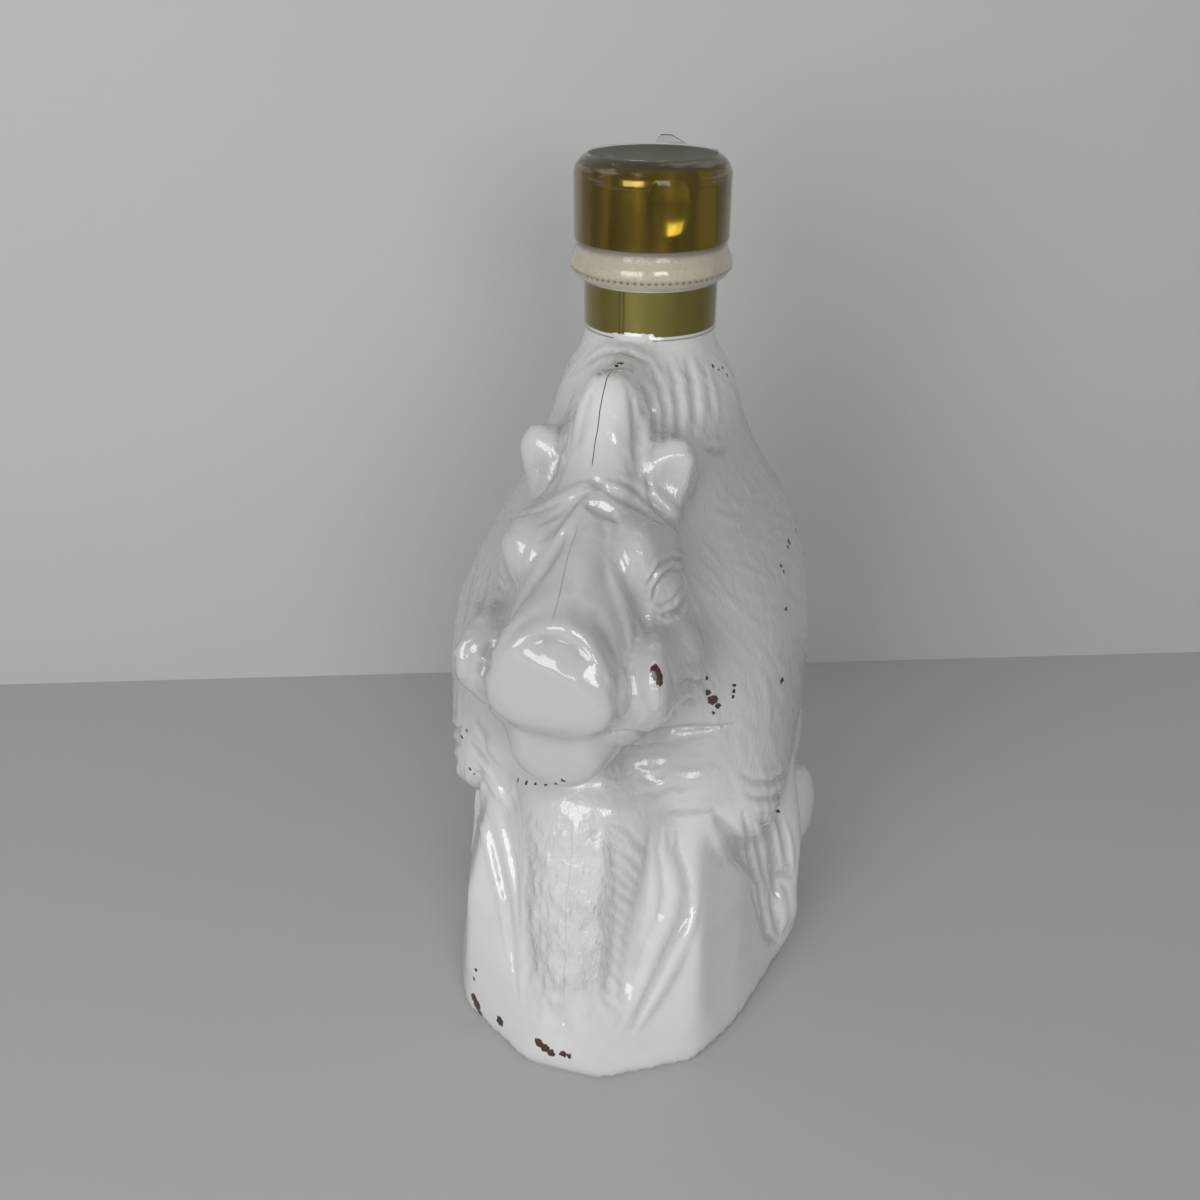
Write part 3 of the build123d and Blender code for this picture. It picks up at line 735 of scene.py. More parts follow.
# Swellings that round the large forms off, on both sides: a name, a place and radii in millimetres
# from the neck's axis, and a turn about the upright in degrees
SWELLS = [
    ("crest side", 3.4, -34.5, 162.0, (4.6, 7.5, 13.0), 0),
    ("lip fold", 19.8, -58.0, 112.5, (5.6, 13.0, 8.5), 10),
    ("lip", 15.8, -65.0, 112.0, (6.2, 9.0, 10.5), 0),
    ("cheek", 23.0, -53.0, 116.0, (5.0, 11.0, 9.0), 10),
    ("brow root", 13.5, -47.5, 138.0, (6.5, 9.0, 7.5), 0),
]
# Where the large forms melt into each other: a place in millimetres, mirrored, a reach and a share
SOFT_SPOTS = [
    (21, -64, 117, 11, 0.9),
    (21, -57, 106, 11, 0.9),
    (16, -66, 112, 11, 0.95),
    (12, -74, 104, 6, 0.9),
    (13, -52, 139, 14, 0.6),
    (16, -33, 150, 15, 0.45),
    (0, -40, 168, 13, 0.15),
    (0, -60, 90, 16, 0.4),
    (17, -60, 62, 17, 0.95),
    (15, -64, 42, 15, 0.95),
    (12, -69, 24, 12, 0.9),
]
# Broad hollows and swellings on both sides, and the eyeballs: a place, a radius and a height in millimetres
BROAD_LUMPS = [((15, -56, 88), 17, -3.2), ((13, -66, 30), 11, -1.5), ((38, 2, 146), 15, 1.8)]
EYEBALLS = [((18.3, -50.5, 131.2), 4.2, 0.7)]


def blend_forms(skin):
    """Softens the joins of the large forms: cheeks into flanks, crest and ears into the neck."""
    across, along, up = in_axis_frame(skin.places).T
    side = np.abs(across)
    cheek = step_between(side, 14, 22) * step_between(along, -52, -44) * (1 - step_between(along, -18, -8))
    cheek *= step_between(up, 84, 98) * (1 - step_between(up, 150, 160))
    neck = step_between(up, 150, 160) * (1 - step_between(up, 172, 176)) * (1 - step_between(along, 0, 12))
    under = step_between(side, 8, 16) * (1 - step_between(up, 92, 102)) * step_between(up, 60, 72)
    under *= 1 - step_between(along, -34, -22)
    foot = 0.7 * (1 - step_between(up, 9, 14))
    flat = up < 0.5
    base_heights = skin.places[flat, 2].copy()
    shares = [cheek, 0.6 * neck, 0.7 * under, foot]
    for beside, front, height, reach, share in SOFT_SPOTS:
        away = np.sqrt((side - beside) ** 2 + (along - front) ** 2 + (up - height) ** 2)
        shares.append(share * (1 - step_between(away, 0.5 * reach, reach)))
    skin.relax(np.maximum.reduce(shares), 26)
    skin.places[flat, 2] = base_heights
    skin.store()


def comb_coat(skin, strength):
    """Bristle locks over the trunk, as short strokes along the lie of the coat."""
    rng = np.random.default_rng(7)
    across, along, up = in_axis_frame(skin.places).T
    side = np.abs(across)
    bristly = (up > 66) & (up < 172) & (along > -46) & ~((side < 20) & (along < -20) & (up < 160))
    numbers = np.nonzero(bristly)[0]
    rng.shuffle(numbers)
    seeds = np.empty((0, 3))
    for number in numbers[:LOCK_TRIES]:
        place = skin.places[number]
        if len(seeds) and (((seeds - place) ** 2).sum(axis=1) < LOCK_SPACING ** 2).any():
            continue
        seeds = np.vstack((seeds, place))
    for place in seeds:
        drift = rng.uniform(-0.5, 0.5)
        length = rng.uniform(1.5, 2.4) * MM
        height = rng.uniform(0.1, 0.25) * MM * strength
        line = skin.flow_path(Vector(place), LOCK_STEPS, length, drift)
        skin.stroke(line, rng.uniform(1.3, 2.0) * MM, height)
    skin.store()


def rough_chest(skin, strength):
    """Short matted tufts down the chest, and fine furrows across the throat."""
    rng = np.random.default_rng(11)
    tufts = []
    for _ in range(CHEST_TUFTS):
        column = rng.uniform(*CHEST_COLUMNS)
        row = rng.uniform(*CHEST_ROWS)
        lean = rng.uniform(-9, 9)
        drop = rng.uniform(12, 30)
        path = [(column, row), (column + lean, row + 0.5 * drop), (column + 0.4 * lean, row + drop)]
        tufts.append((rng.uniform(1.5, 2.6), rng.uniform(-0.34, 0.6), path))
    for _ in range(THROAT_FURROWS):
        column = rng.uniform(*THROAT_COLUMNS)
        row = rng.uniform(*THROAT_ROWS)
        length = rng.uniform(18, 52)
        path = [(column, row), (column + 0.5 * length, row + rng.uniform(-2, 3)), (column + length, row)]
        tufts.append((rng.uniform(1.2, 1.9), rng.uniform(-0.4, 0.28), path))
    skin.pixel_strokes(tufts, strength)
    skin.store()


def swell(skin, lumps):
    """Raises or sinks round patches that are given from the neck's axis, on both sides."""
    for place, radius, height in lumps:
        skin.blob(on_body(*place), radius * MM, height * MM, mirrored=True)
    skin.store()


def fishbone():
    """Slanting strokes down the edge of the chest, in pairs of a furrow and a ridge."""
    rng = np.random.default_rng(5)
    strokes = []
    for row in range(FISHBONE_COUNT):
        top = FISHBONE_TOP + FISHBONE_STEP * row + rng.uniform(-3, 3)
        left = 606 - 0.3 * row
        right = 648 - 2.3 * row
        drop = rng.uniform(22, 34)
        for width, height, shift in ((1.7, -0.5, 0), (1.8, 0.5, 6)):
            middle = ((left + right) / 2 + rng.uniform(-2, 2), top + 10 + shift)
            strokes.append((width, height, [(left, top + shift), middle, (right, top + drop + shift)]))
    return strokes


def carve_boar(skin):
    """All relief on the boar and its rock, from the largest forms to the finest."""
    strength = bpy.context.scene.decanter_sizes.relief
    comb_coat(skin, strength)
    swell(skin, BROAD_LUMPS)
    for column, row, radius, height in LUMPS:
        skin.blob(skin.at_pixel(column, row), radius * MM, height * MM * strength)
    skin.store()
    for strokes in (CREST_STROKES, FOREHEAD_STROKES, BRIDGE_STROKES, LEFT_STROKES, EAR_STROKES, LEG_STROKES):
        skin.pixel_strokes(strokes, strength)
    skin.pixel_strokes(HIND_STROKES, 1.3 * strength, mirrored=True)
    for strokes in (EYE_STROKES, MUZZLE_STROKES, WRINKLE_STROKES):
        skin.pixel_strokes(strokes, strength, mirrored=True)
    skin.pixel_strokes(fishbone(), strength)
    rough_chest(skin, strength)
    swell(skin, EYEBALLS)


# Materials


class Nodes:
    """A new material, with short ways to add and link its nodes."""

    def __init__(self, name):
        self.material = bpy.data.materials.new(name)
        self.material.use_nodes = True
        self.tree = self.material.node_tree
        self.shader = self.tree.nodes["Principled BSDF"]

    def feed(self, value, target):
        """Feeds an input from a socket, a number, a place or a colour."""
        if isinstance(value, bpy.types.NodeSocket):
            self.tree.links.new(value, target)
        elif target.type == "RGBA":
            target.default_value = (*value, 1)
        else:
            target.default_value = value

    def add(self, kind, **values):
        """A node of the kind, with its properties set and its inputs fed."""
        node = self.tree.nodes.new(kind)
        for key, value in values.items():
            if key in node.bl_rna.properties:
                setattr(node, key, value)
            else:
                self.feed(value, node.inputs[key.replace("_", " ")])
        return node

    def finish(self, **values):
        """Feeds the inputs of the main shader."""
        for key, value in values.items():
            self.feed(value, self.shader.inputs[key.replace("_", " ")])

    def blend(self, share, second):
        """Sends a mix of the main shader and a second one to the output."""
        mixed = self.add("ShaderNodeMixShader")
        for slot, source in enumerate((share, self.shader.outputs[0], second.outputs[0])):
            self.feed(source, mixed.inputs[slot])
        self.feed(mixed.outputs[0], self.tree.nodes["Material Output"].inputs["Surface"])

    def math(self, operation, *values, clamp=False):
        """A math node fed by sockets or numbers."""
        node = self.add("ShaderNodeMath", operation=operation, use_clamp=clamp)
        for slot, value in enumerate(values):
            self.feed(value, node.inputs[slot])
        return node.outputs[0]

    def chain(self, operation, values):
        """All the values, joined two by two with one operation."""
        return reduce(lambda first, second: self.math(operation, first, second), values)

    def times(self, *values):
        """The product of the values."""
        return self.chain("MULTIPLY", values)

    def plus(self, *values):
        """The sum of the values."""
        return self.chain("ADD", values)

    def minus(self, first, second):
        """The first value less the second."""
        return self.math("SUBTRACT", first, second)

    def layer(self, *masks):
        """The largest of the masks."""
        return self.chain("MAXIMUM", masks)

    def ramp(self, source, low, high):
        """A smooth step from nought at the first level to one at the second."""
        node = self.add("ShaderNodeMapRange", interpolation_type="SMOOTHSTEP", Value=source)
        self.feed(low, node.inputs["From Min"])
        self.feed(high, node.inputs["From Max"])
        return node.outputs["Result"]

    def band(self, source, low, high, edge):
        """One between the two levels, with soft edges, and nought elsewhere."""
        above = self.ramp(source, low - edge, low + edge)
        return self.times(above, self.ramp(source, high + edge, high - edge))

    def mix(self, share, first, second):
        """A mix of two colours, each a tuple or a socket."""
        node = self.add("ShaderNodeMix", data_type="RGBA", Factor=share)
        for slot, value in (("A", first), ("B", second)):
            self.feed(value, next(s for s in node.inputs if s.name == slot and s.type == "RGBA"))
        return next(s for s in node.outputs if s.type == "RGBA")

    def tone(self, share, colour, depth):
        """The colour, darkened to the depth where the share is one."""
        return self.mix(share, colour, tuple(depth * c for c in colour))

    def coats(self, ground, layers):
        """A ground colour under layers, each a share and a colour."""
        for share, colour in layers:
            ground = self.mix(share, ground, colour)
        return ground

    def place(self):
        """Object coordinates."""
        return self.add("ShaderNodeTexCoord").outputs["Object"]

    def axes(self):
        """Object coordinates one by one."""
        return self.add("ShaderNodeSeparateXYZ", Vector=self.place()).outputs

    def turn(self):
        """The angle about the neck's axis."""
        axes = self.axes()
        return self.math("ARCTAN2", self.minus(axes["Y"], AXIS.y), self.minus(axes["X"], AXIS.x))

    def stretched(self, across, along, up):
        """Object coordinates scaled along each axis."""
        node = self.add("ShaderNodeVectorMath", operation="MULTIPLY")
        self.feed(self.place(), node.inputs[0])
        self.feed((across, along, up), node.inputs[1])
        return node.outputs[0]

    def noise(self, scale, detail, roughness, vector=None):
        """Fractal noise over the object."""
        place = vector or self.place()
        node = self.add("ShaderNodeTexNoise", Scale=scale, Detail=detail, Roughness=roughness, Vector=place)
        return node.outputs["Fac"]

    def attribute(self, name):
        """A value that is stored on the vertices."""
        return self.add("ShaderNodeAttribute", attribute_name=name).outputs["Fac"]

    def behind(self):
        """One where a face is seen from its back."""
        return self.add("ShaderNodeNewGeometry").outputs["Backfacing"]

    def bump(self, height, strength, distance):
        """A bump from a height."""
        node = self.add("ShaderNodeBump", Strength=strength, Distance=distance, Height=height)
        return node.outputs["Normal"]


def chip_mask(nodes, chips):
    """One inside a chip, with ragged edges."""
    ragged = nodes.times(nodes.minus(nodes.noise(1400, 3, 0.6), 0.5), 1.6 * MM)
    here = nodes.place()
    depths = []
    for centre, radius in chips:
        away = nodes.add("ShaderNodeVectorMath", operation="DISTANCE")
        nodes.feed(here, away.inputs[0])
        nodes.feed(centre, away.inputs[1])
        depths.append(nodes.minus(away.outputs["Value"], radius))
    return nodes.ramp(nodes.plus(nodes.chain("MINIMUM", depths), ragged), 0.20 * MM, 0.08 * MM)


def crack_mask(nodes, axes):
    """The hairline down the mould seam: clear on the crest, faint on the bridge and the chest."""
    wander = nodes.times(nodes.minus(nodes.noise(70, 2, 0.5), 0.5), 2.4 * MM)
    aside = nodes.math("ABSOLUTE", nodes.plus(nodes.minus(axes["X"], AXIS.x), wander))
    line = nodes.ramp(aside, 0.17 * MM, 0.07 * MM)
    front = nodes.ramp(axes["Y"], AXIS.y - 30 * MM, AXIS.y - 33 * MM)
    crest = nodes.band(axes["Z"], 157 * MM, 174 * MM, 0.5 * MM)
    bridge = nodes.times(nodes.band(axes["Z"], 134 * MM, 147 * MM, 1 * MM), 0.45)
    chest = nodes.times(nodes.band(axes["Z"], 24 * MM, 72 * MM, 1 * MM), 0.2)
    return nodes.times(line, front, nodes.layer(crest, bridge, chest))


def chest_mask(nodes, axes):
    """One on the matted front of the chest."""
    middle = nodes.band(axes["X"], AXIS.x - 11 * MM, AXIS.x + 9 * MM, 2 * MM)
    upright = nodes.band(axes["Z"], 26 * MM, 70 * MM, 4 * MM)
    return nodes.times(middle, upright, nodes.ramp(axes["Y"], AXIS.y - 48 * MM, AXIS.y - 54 * MM))


def coat_material(chips):
    """Glossy white coat over brown glass, yellowed where the film sat and chipped in places, with painted
    shade over the upper body, in the carving's hollows and under the jaw, and a painted shadow of the cap on
    the collar.
    """
    finish = bpy.context.scene.decanter_finish
    nodes = Nodes("coated glass")
    axes = nodes.axes()
    height = axes["Z"]
    coat = tuple(finish.coat)
    white = nodes.tone(nodes.ramp(nodes.noise(60, 5, 0.6), 0.35, 0.75), coat, 0.93)
    warm = nodes.times(nodes.ramp(nodes.noise(24, 3, 0.5), 0.5, 0.8), 0.35)
    # Painted shade: the coat is greyed over the upper body, fully between 96 and 148 mm and fading out below
    # and above.
    upper_body_shade = nodes.times(nodes.ramp(height, 62 * MM, 96 * MM), nodes.ramp(height, 168 * MM, 148 * MM))
    under_film = nodes.ramp(height, band_high.z - 0.2 * MM, band_high.z + 1.5 * MM)
    cream = nodes.mix(nodes.noise(220, 3, 0.6), (0.62, 0.57, 0.47), (0.50, 0.45, 0.34))
    # Just under the cap: partly the collar's own brownish tone, partly a painted shadow of the cap.
    cap_shadow_band = nodes.ramp(height, 194.0 * MM, 195.6 * MM)
    collar_and_cap_shadow = nodes.mix(nodes.noise(160, 3, 0.6), (0.30, 0.24, 0.20), (0.46, 0.40, 0.36))
    chipped = chip_mask(nodes, chips)
    rusty = nodes.ramp(nodes.noise(900, 3, 0.6), 0.5, 0.72)
    layers = (
        (warm, (0.72, 0.70, 0.64)),
        # Painted shade over the upper body.
        (upper_body_shade, tuple(0.73 * c for c in coat)),
        # Painted shade in the carving's hollows and under the jaw.
        (nodes.times(nodes.attribute("hollow"), 0.4), (0.34, 0.35, 0.34)),
        (under_film, cream),
        # Painted shadow of the cap on the collar.
        (cap_shadow_band, collar_and_cap_shadow),
        (crack_mask(nodes, axes), (0.10, 0.085, 0.07)),
        (chipped, nodes.mix(rusty, tuple(finish.glass), (0.10, 0.032, 0.016))),
    )
    strands = nodes.times(nodes.noise(520, 4, 0.6, nodes.stretched(1, 1, 0.3)), 0.42 * MM)
    uneven = nodes.times(nodes.noise(190, 3, 0.5), 0.16 * MM)
    knots = nodes.noise(230, 3, 0.55, nodes.stretched(1, 1, 0.6))
    surface = nodes.plus(
        nodes.times(nodes.attribute("fur"), strands),
        uneven,
        nodes.times(chipped, -0.12 * MM),
        nodes.times(knots, chest_mask(nodes, axes), 2.6 * MM),
    )
    nodes.finish(
        Base_Color=nodes.coats(white, layers),
        Roughness=nodes.plus(nodes.times(chipped, 0.25), 0.11),
        Coat_Weight=0.55,
        Coat_Roughness=0.03,
        Normal=nodes.bump(surface, 0.75, 1.0),
    )
    return nodes.material


def gold_material():
    """Brownish gold metallised plastic, with painted upright reflection streaks on its side, duller on its
    flat top.
    """
    nodes = Nodes("cap gold")
    # Painted reflection: upright darker streaks in the gold of the cap's side.
    streak = nodes.ramp(nodes.noise(170, 3, 0.55, nodes.stretched(1, 1, 0.06)), 0.38, 0.62)
    side = nodes.tone(streak, tuple(bpy.context.scene.decanter_finish.cap_gold), 0.5)
    worn = nodes.mix(nodes.noise(300, 4, 0.6), (0.090, 0.078, 0.036), (0.064, 0.054, 0.025))
    top = nodes.ramp(nodes.axes()["Z"], cap_high.z - 3.0 * MM, cap_high.z - 0.8 * MM)
    grain = nodes.plus(nodes.times(nodes.noise(400, 3, 0.5), 0.06), 0.13)
    nodes.finish(
        Base_Color=nodes.mix(top, side, worn),
        Metallic=nodes.minus(0.85, nodes.times(top, 0.6)),
        Roughness=nodes.plus(grain, nodes.times(top, 0.25)),
        Coat_Weight=0.05,
        Coat_Roughness=0.03,
        Specular_IOR_Level=0.15,
        Normal=nodes.bump(nodes.noise(1500, 2, 0.5), 0.05, 0.1 * MM),
    )
    return nodes.material


def band_material():
    """Satin olive-gold foil with faint upright creases and the two lines of its lap."""
    nodes = Nodes("band foil")
    streak = nodes.ramp(nodes.noise(120, 4, 0.55, nodes.stretched(1, 1, 0.15)), 0.3, 0.7)
    foil = nodes.tone(streak, tuple(bpy.context.scene.decanter_finish.band_gold), 0.88)
    turn = nodes.turn()
    lines = [nodes.ramp(nodes.math("ABSOLUTE", nodes.minus(turn, line)), 0.022, 0.008) for line in LAP_LINES]
    crease = nodes.noise(260, 3, 0.5, nodes.stretched(1, 1, 0.1))
    nodes.finish(
        Base_Color=nodes.mix(nodes.times(nodes.layer(*lines), 0.6), foil, (0.05, 0.042, 0.012)),
        Metallic=0.6,
        Roughness=0.36,
        Normal=nodes.bump(crease, 0.4, 0.15 * MM),
    )
    return nodes.material


def film_material():
    """Clear shrink film: hazy where it turns away, crinkled on the bead, dotted at its tear line."""
    nodes = Nodes("clear film")
    height = nodes.axes()["Z"]
    bead = nodes.band(height, band_high.z + 0.3 * MM, cap_low.z - 1.2 * MM, 0.5 * MM)
    crease = nodes.ramp(nodes.noise(430, 5, 0.65, nodes.stretched(1, 1, 0.6)), 0.52, 0.70)
    crinkles = nodes.times(crease, bead)
    lying = nodes.ramp(nodes.noise(230, 5, 0.65, nodes.stretched(0.35, 0.35, 2.2)), 0.51, 0.62)
    gathers = nodes.times(lying, nodes.ramp(height, cap_high.z - 6.5 * MM, cap_high.z - 3 * MM), 0.7)
    folds = nodes.layer(crinkles, gathers)
    dots = nodes.ramp(nodes.math("SINE", nodes.times(nodes.turn(), PERFORATION_COUNT)), 0.1, 0.6)
    row = nodes.band(height, PERFORATIONS - 0.75 * MM, PERFORATIONS - 0.1 * MM, 0.12 * MM)
    dotted = nodes.times(dots, row)
    hem = nodes.ramp(height, SLEEVE_FOOT + 0.5 * MM, SLEEVE_FOOT + 0.15 * MM)
    outline = nodes.layer(nodes.ramp(nodes.attribute("edge"), 0.25, 0.7), nodes.times(hem, 0.6))
    torn = nodes.ramp(height, cap_high.z + 0.25 * MM, cap_high.z + 0.5 * MM)
    clear = nodes.mix(bead, (0.24, 0.22, 0.16), tuple(bpy.context.scene.decanter_finish.film))
    layers = (
        (gathers, (0.62, 0.59, 0.49)),
        (crinkles, (0.58, 0.53, 0.38)),
        (dotted, (0.22, 0.17, 0.08)),
        (outline, (0.10, 0.08, 0.06)),
    )
    facing = nodes.add("ShaderNodeLayerWeight", Blend=0.25).outputs["Facing"]
    veil = nodes.times(nodes.ramp(facing, 0.24, 0.5), 0.24)
    for share, strength in ((bead, 0.17), (folds, 0.44), (dotted, 0.8), (outline, 0.9), (torn, 0.16)):
        veil = nodes.plus(veil, nodes.times(share, strength))
    front = nodes.minus(1.0, nodes.behind())
    bump = nodes.bump(folds, 0.6, 0.2 * MM)
    nodes.finish(
        Base_Color=nodes.coats(clear, layers),
        Alpha=nodes.times(front, nodes.math("ADD", veil, 0.005, clamp=True)),
        Roughness=0.08,
        Normal=bump,
    )
    gloss = nodes.add("ShaderNodeBsdfGlossy", Roughness=0.06, Normal=bump)
    fresnel = nodes.add("ShaderNodeFresnel", IOR=1.45).outputs[0]
    nodes.blend(nodes.times(fresnel, front, 0.8), gloss)
    return nodes.material


def plain_plastic(name, colour, scale):
    """Moulded plastic or liner foam with a fine grain."""
    nodes = Nodes(name)
    grain = nodes.noise(scale, 4, 0.6)
    nodes.finish(
        Base_Color=nodes.tone(grain, colour, 0.88),
        Roughness=0.55,
        Normal=nodes.bump(grain, 0.15, 0.1 * MM),
    )
    return nodes.material


def dress(piece, material):
    """Gives the piece one material."""
    piece.data.materials.clear()
    piece.data.materials.append(material)


def smooth_look(piece, angle):
    """Smooth shading, but for edges sharper than the angle in degrees."""
    take(piece)
    bpy.ops.object.shade_smooth_by_angle(angle=math.radians(angle))


# Pieces


def ring_shell(name, rows):
    """A closed shell from rings of points. The last ring joins the first."""
    bm = bmesh.new()
    rings = [[bm.verts.new(point) for point in row] for row in rows]
    for below, above in zip(rings, rings[1:] + rings[:1]):
        for step in range(len(below)):
            after = (step + 1) % len(below)
            bm.faces.new((below[step], below[after], above[after], above[step]))
    bmesh.ops.recalc_face_normals(bm, faces=bm.faces)
    return piece_from(name, bm)


def around(angle, radius, height):
    """A point on a circle about the neck's axis."""
    return Vector((AXIS.x + radius * math.cos(angle), AXIS.y + radius * math.sin(angle), height))


def wound_foil(name, count):
    """A strip of foil that is wound once round the neck and laps over its own start."""
    inside = (band_high.x - band_low.x) / 2 - FOIL_INSET
    bm = bmesh.new()
    sections = []
    for step in range(count + 1):
        share = (1 + LAP_SHARE) * step / count
        angle = LAP_TURN + 2 * math.pi * share
        over = min(1.0, max(0.0, (share - 1 + LAP_RISE) / LAP_RISE))
        base = inside + LAP_CLIMB * over
        face = base + FOIL_WALL
        corners = ((base, band_low.z), (face, band_low.z), (face, band_high.z), (base, band_high.z))
        sections.append([bm.verts.new(around(angle, radius, height)) for radius, height in corners])
    for behind, ahead in zip(sections, sections[1:]):
        for corner in range(4):
            after = (corner + 1) % 4
            bm.faces.new((behind[corner], behind[after], ahead[after], ahead[corner]))
    bm.faces.new(sections[0])
    bm.faces.new(sections[-1])
    bmesh.ops.recalc_face_normals(bm, faces=bm.faces)
    return piece_from(name, bm)


def rows_between(foot, top, count):
    """Evenly spaced stations of a film's upright side."""
    return [(foot + (top - foot) * step / count, 0) for step in range(count + 1)]


def film_rows(node, stations, wrinkle, rim=None):
    """Rings on the film's outside, then its inside. A station is a height and a ray's lift in degrees."""
    sizes = bpy.context.scene.decanter_sizes
    tree = BVHTree.FromObject(frame["nodes"][node], bpy.context.evaluated_depsgraph_get())
    angles = [2 * math.pi * step / sizes.film_segments for step in range(sizes.film_segments)]
    outer = []
    inner = []
    for height, lift in stations:
        lean = math.radians(lift)
        outside = []
        inside = []
        for angle in angles:
            level = Vector((math.cos(angle), math.sin(angle), 0)) * math.cos(lean)
            away = level + Vector((0, 0, math.sin(lean)))
            focus = around(angle, SHOULDER_RING if lift else 0, height)
            found, _, _, _ = tree.ray_cast(focus + away * 30 * MM, -away)
            if found is None:
                raise RuntimeError(f"no film at {height} {lift}")
            fold = wrinkle(angle, found.z) * sizes.film_crinkle
            outside.append(found - away * fold)
            inside.append(found - away * (fold + FILM_WALL))
        outer.append(outside)
        inner.append(inside)
    if rim:
        top = outer[-1]
        for share in (0.5, 0.82, 1.0):
            outer.append([rim(angle, point, share, 0) for angle, point in zip(angles, top)])
            inner.append([rim(angle, point, share, RIM_WALL) for angle, point in zip(angles, top)])
    return outer + inner[::-1]


def mark_edge(film, rows):
    """Marks the two rings that make the film's torn edge."""
    middle = rows // 2
    ring = np.arange(len(film.data.vertices)) // bpy.context.scene.decanter_sizes.film_segments
    paint(film, "edge", ((ring == middle) | (ring == middle - 1)).astype(float))


def torn_rim(angle, point, share_up, inset):
    """A point of the film's torn top edge: a ragged fringe, a low tab at the left and one at the rear."""
    degrees = math.degrees(angle) % 360
    fringe = 0.35 * MM * max(0.0, noise.noise(Vector((degrees * 0.09, 3.1, 0.4)))) + 0.12 * MM
    across_left = (degrees - LEFT_START) / LEFT_WIDTH
    rise = fringe + (LEFT_HEIGHT * math.sin(math.pi * across_left) if 0 < across_left < 1 else 0)
    if TAB_START < degrees < TAB_END:
        share = (TAB_END - degrees) / (TAB_END - TAB_START)
        rise = TAB_HEIGHT * min(1.0, share / 0.16, (1 - share) / 0.5) + 0.1 * MM
    rise *= share_up
    inward = Vector((-math.cos(angle), -math.sin(angle), 0)) * (0.25 * rise + inset)
    return point + inward + Vector((0, 0, rise))


def wrinkle_upper(angle, height):
    """How far the film is drawn in: crinkled on the bead, taut on the cap and gathered on its shoulder."""
    on_bead = max(0.0, 1 - max(0.0, height - cap_low.z) / (1.2 * MM))
    on_top = min(1.0, max(0.0, height - (cap_high.z - 6 * MM)) / (3 * MM))
    fine = noise.fractal(Vector((math.cos(angle) * 9, math.sin(angle) * 9, height * 420)), 0.9, 2.1, 3)
    lying = noise.fractal(Vector((math.cos(angle) * 2.2, math.sin(angle) * 2.2, height * 900)), 0.9, 2.1, 3)
    taut = noise.noise(Vector((math.cos(angle) * 3, math.sin(angle) * 3, height * 60)))
    value = 0.12 * taut + on_bead * 0.5 * fine + on_top * 0.5 * lying
    return min(1.0, max(0.0, 0.35 + value))


def wrinkle_lower(angle, height):
    """The film below the perforations: crinkled on the bead and at its hem, taut on the band."""
    hem = max(0.0, 1 - (height - SLEEVE_FOOT) / (2.0 * MM))
    on_bead = min(1.0, max(0.0, height - band_high.z) / (1.0 * MM))
    fine = noise.fractal(Vector((math.cos(angle) * 11, math.sin(angle) * 11, height * 380)), 0.9, 2.1, 3)
    upright = noise.noise(Vector((math.cos(angle) * 16, math.sin(angle) * 16, height * 90)))
    value = 0.10 * upright + 0.5 * hem * upright + 0.5 * on_bead * fine
    return min(1.0, max(0.0, 0.3 + value))


def paint(piece, name, values):
    """Stores one value per vertex."""
    layer = piece.data.attributes.new(name, "FLOAT", "POINT")
    layer.data.foreach_set("value", values)


def paint_skin(bottle):
    """Marks where the bristles are, and how deep each place lies in the carving, which the coat's colour
    uses as painted shade in the hollows and under the jaw.
    """
    across, along, up = in_axis_frame(read_vectors(bottle.data.vertices, "co")).T
    side = np.abs(across)
    snout = np.exp(-((across / 17) ** 2 + ((up - 128) / 22) ** 4)) * step_between(-along, 42, 52)
    fur = step_between(up, 68, 82) * (1 - step_between(up, 171, 175))
    apron = step_between(-along, 50, 56) * (1 - step_between(side, 14, 18)) * step_between(up, 26, 34)
    fur = np.maximum(fur, apron)
    fur *= 1 - np.clip(1.6 * snout, 0, 1)
    crest = (1 - step_between(side, 5, 7)) * step_between(-along, 34, 38) * step_between(up, 152, 158)
    lip = (1 - step_between(side, 13, 16)) * step_between(-along, 62, 66) * step_between(up, 88, 92)
    paint(bottle, "fur", fur * (1 - crest) * (1 - lip))
    # Painted shade: a stored value that darkens the coat where the carving sinks, less on the chest, and in
    # a patch under the jaw.
    skin = Skin(bottle)
    before = skin.places.copy()
    skin.relax(np.ones(len(before)), 10)
    sunk = ((skin.places - before) * skin.normals).sum(axis=1)
    chest = (1 - step_between(across, 10, 22)) * (1 - step_between(up, 66, 74))
    folds = (1 - 0.85 * chest) * np.clip(sunk / (0.16 * MM), 0, 1)
    # Painted shade under the jaw.
    throat = np.exp(-(((side - 20) / 13) ** 2 + ((up - 84) / 8) ** 2)) * step_between(-along, 8, 24)
    paint(bottle, "hollow", np.maximum(folds, 0.9 * throat) * (up < 176))


def chip_places(bottle):
    """Where the chips lie on the finished skin, and their radii."""
    skin = Skin(bottle)
    forward = look_frame()[2]
    found = []
    for column, row, radius in CHIPS:
        place = skin.at_pixel(column, row)
        if place is not None:
            found.append((place, radius * (place - EYE).dot(forward) / LENS_PIXELS))
    return found


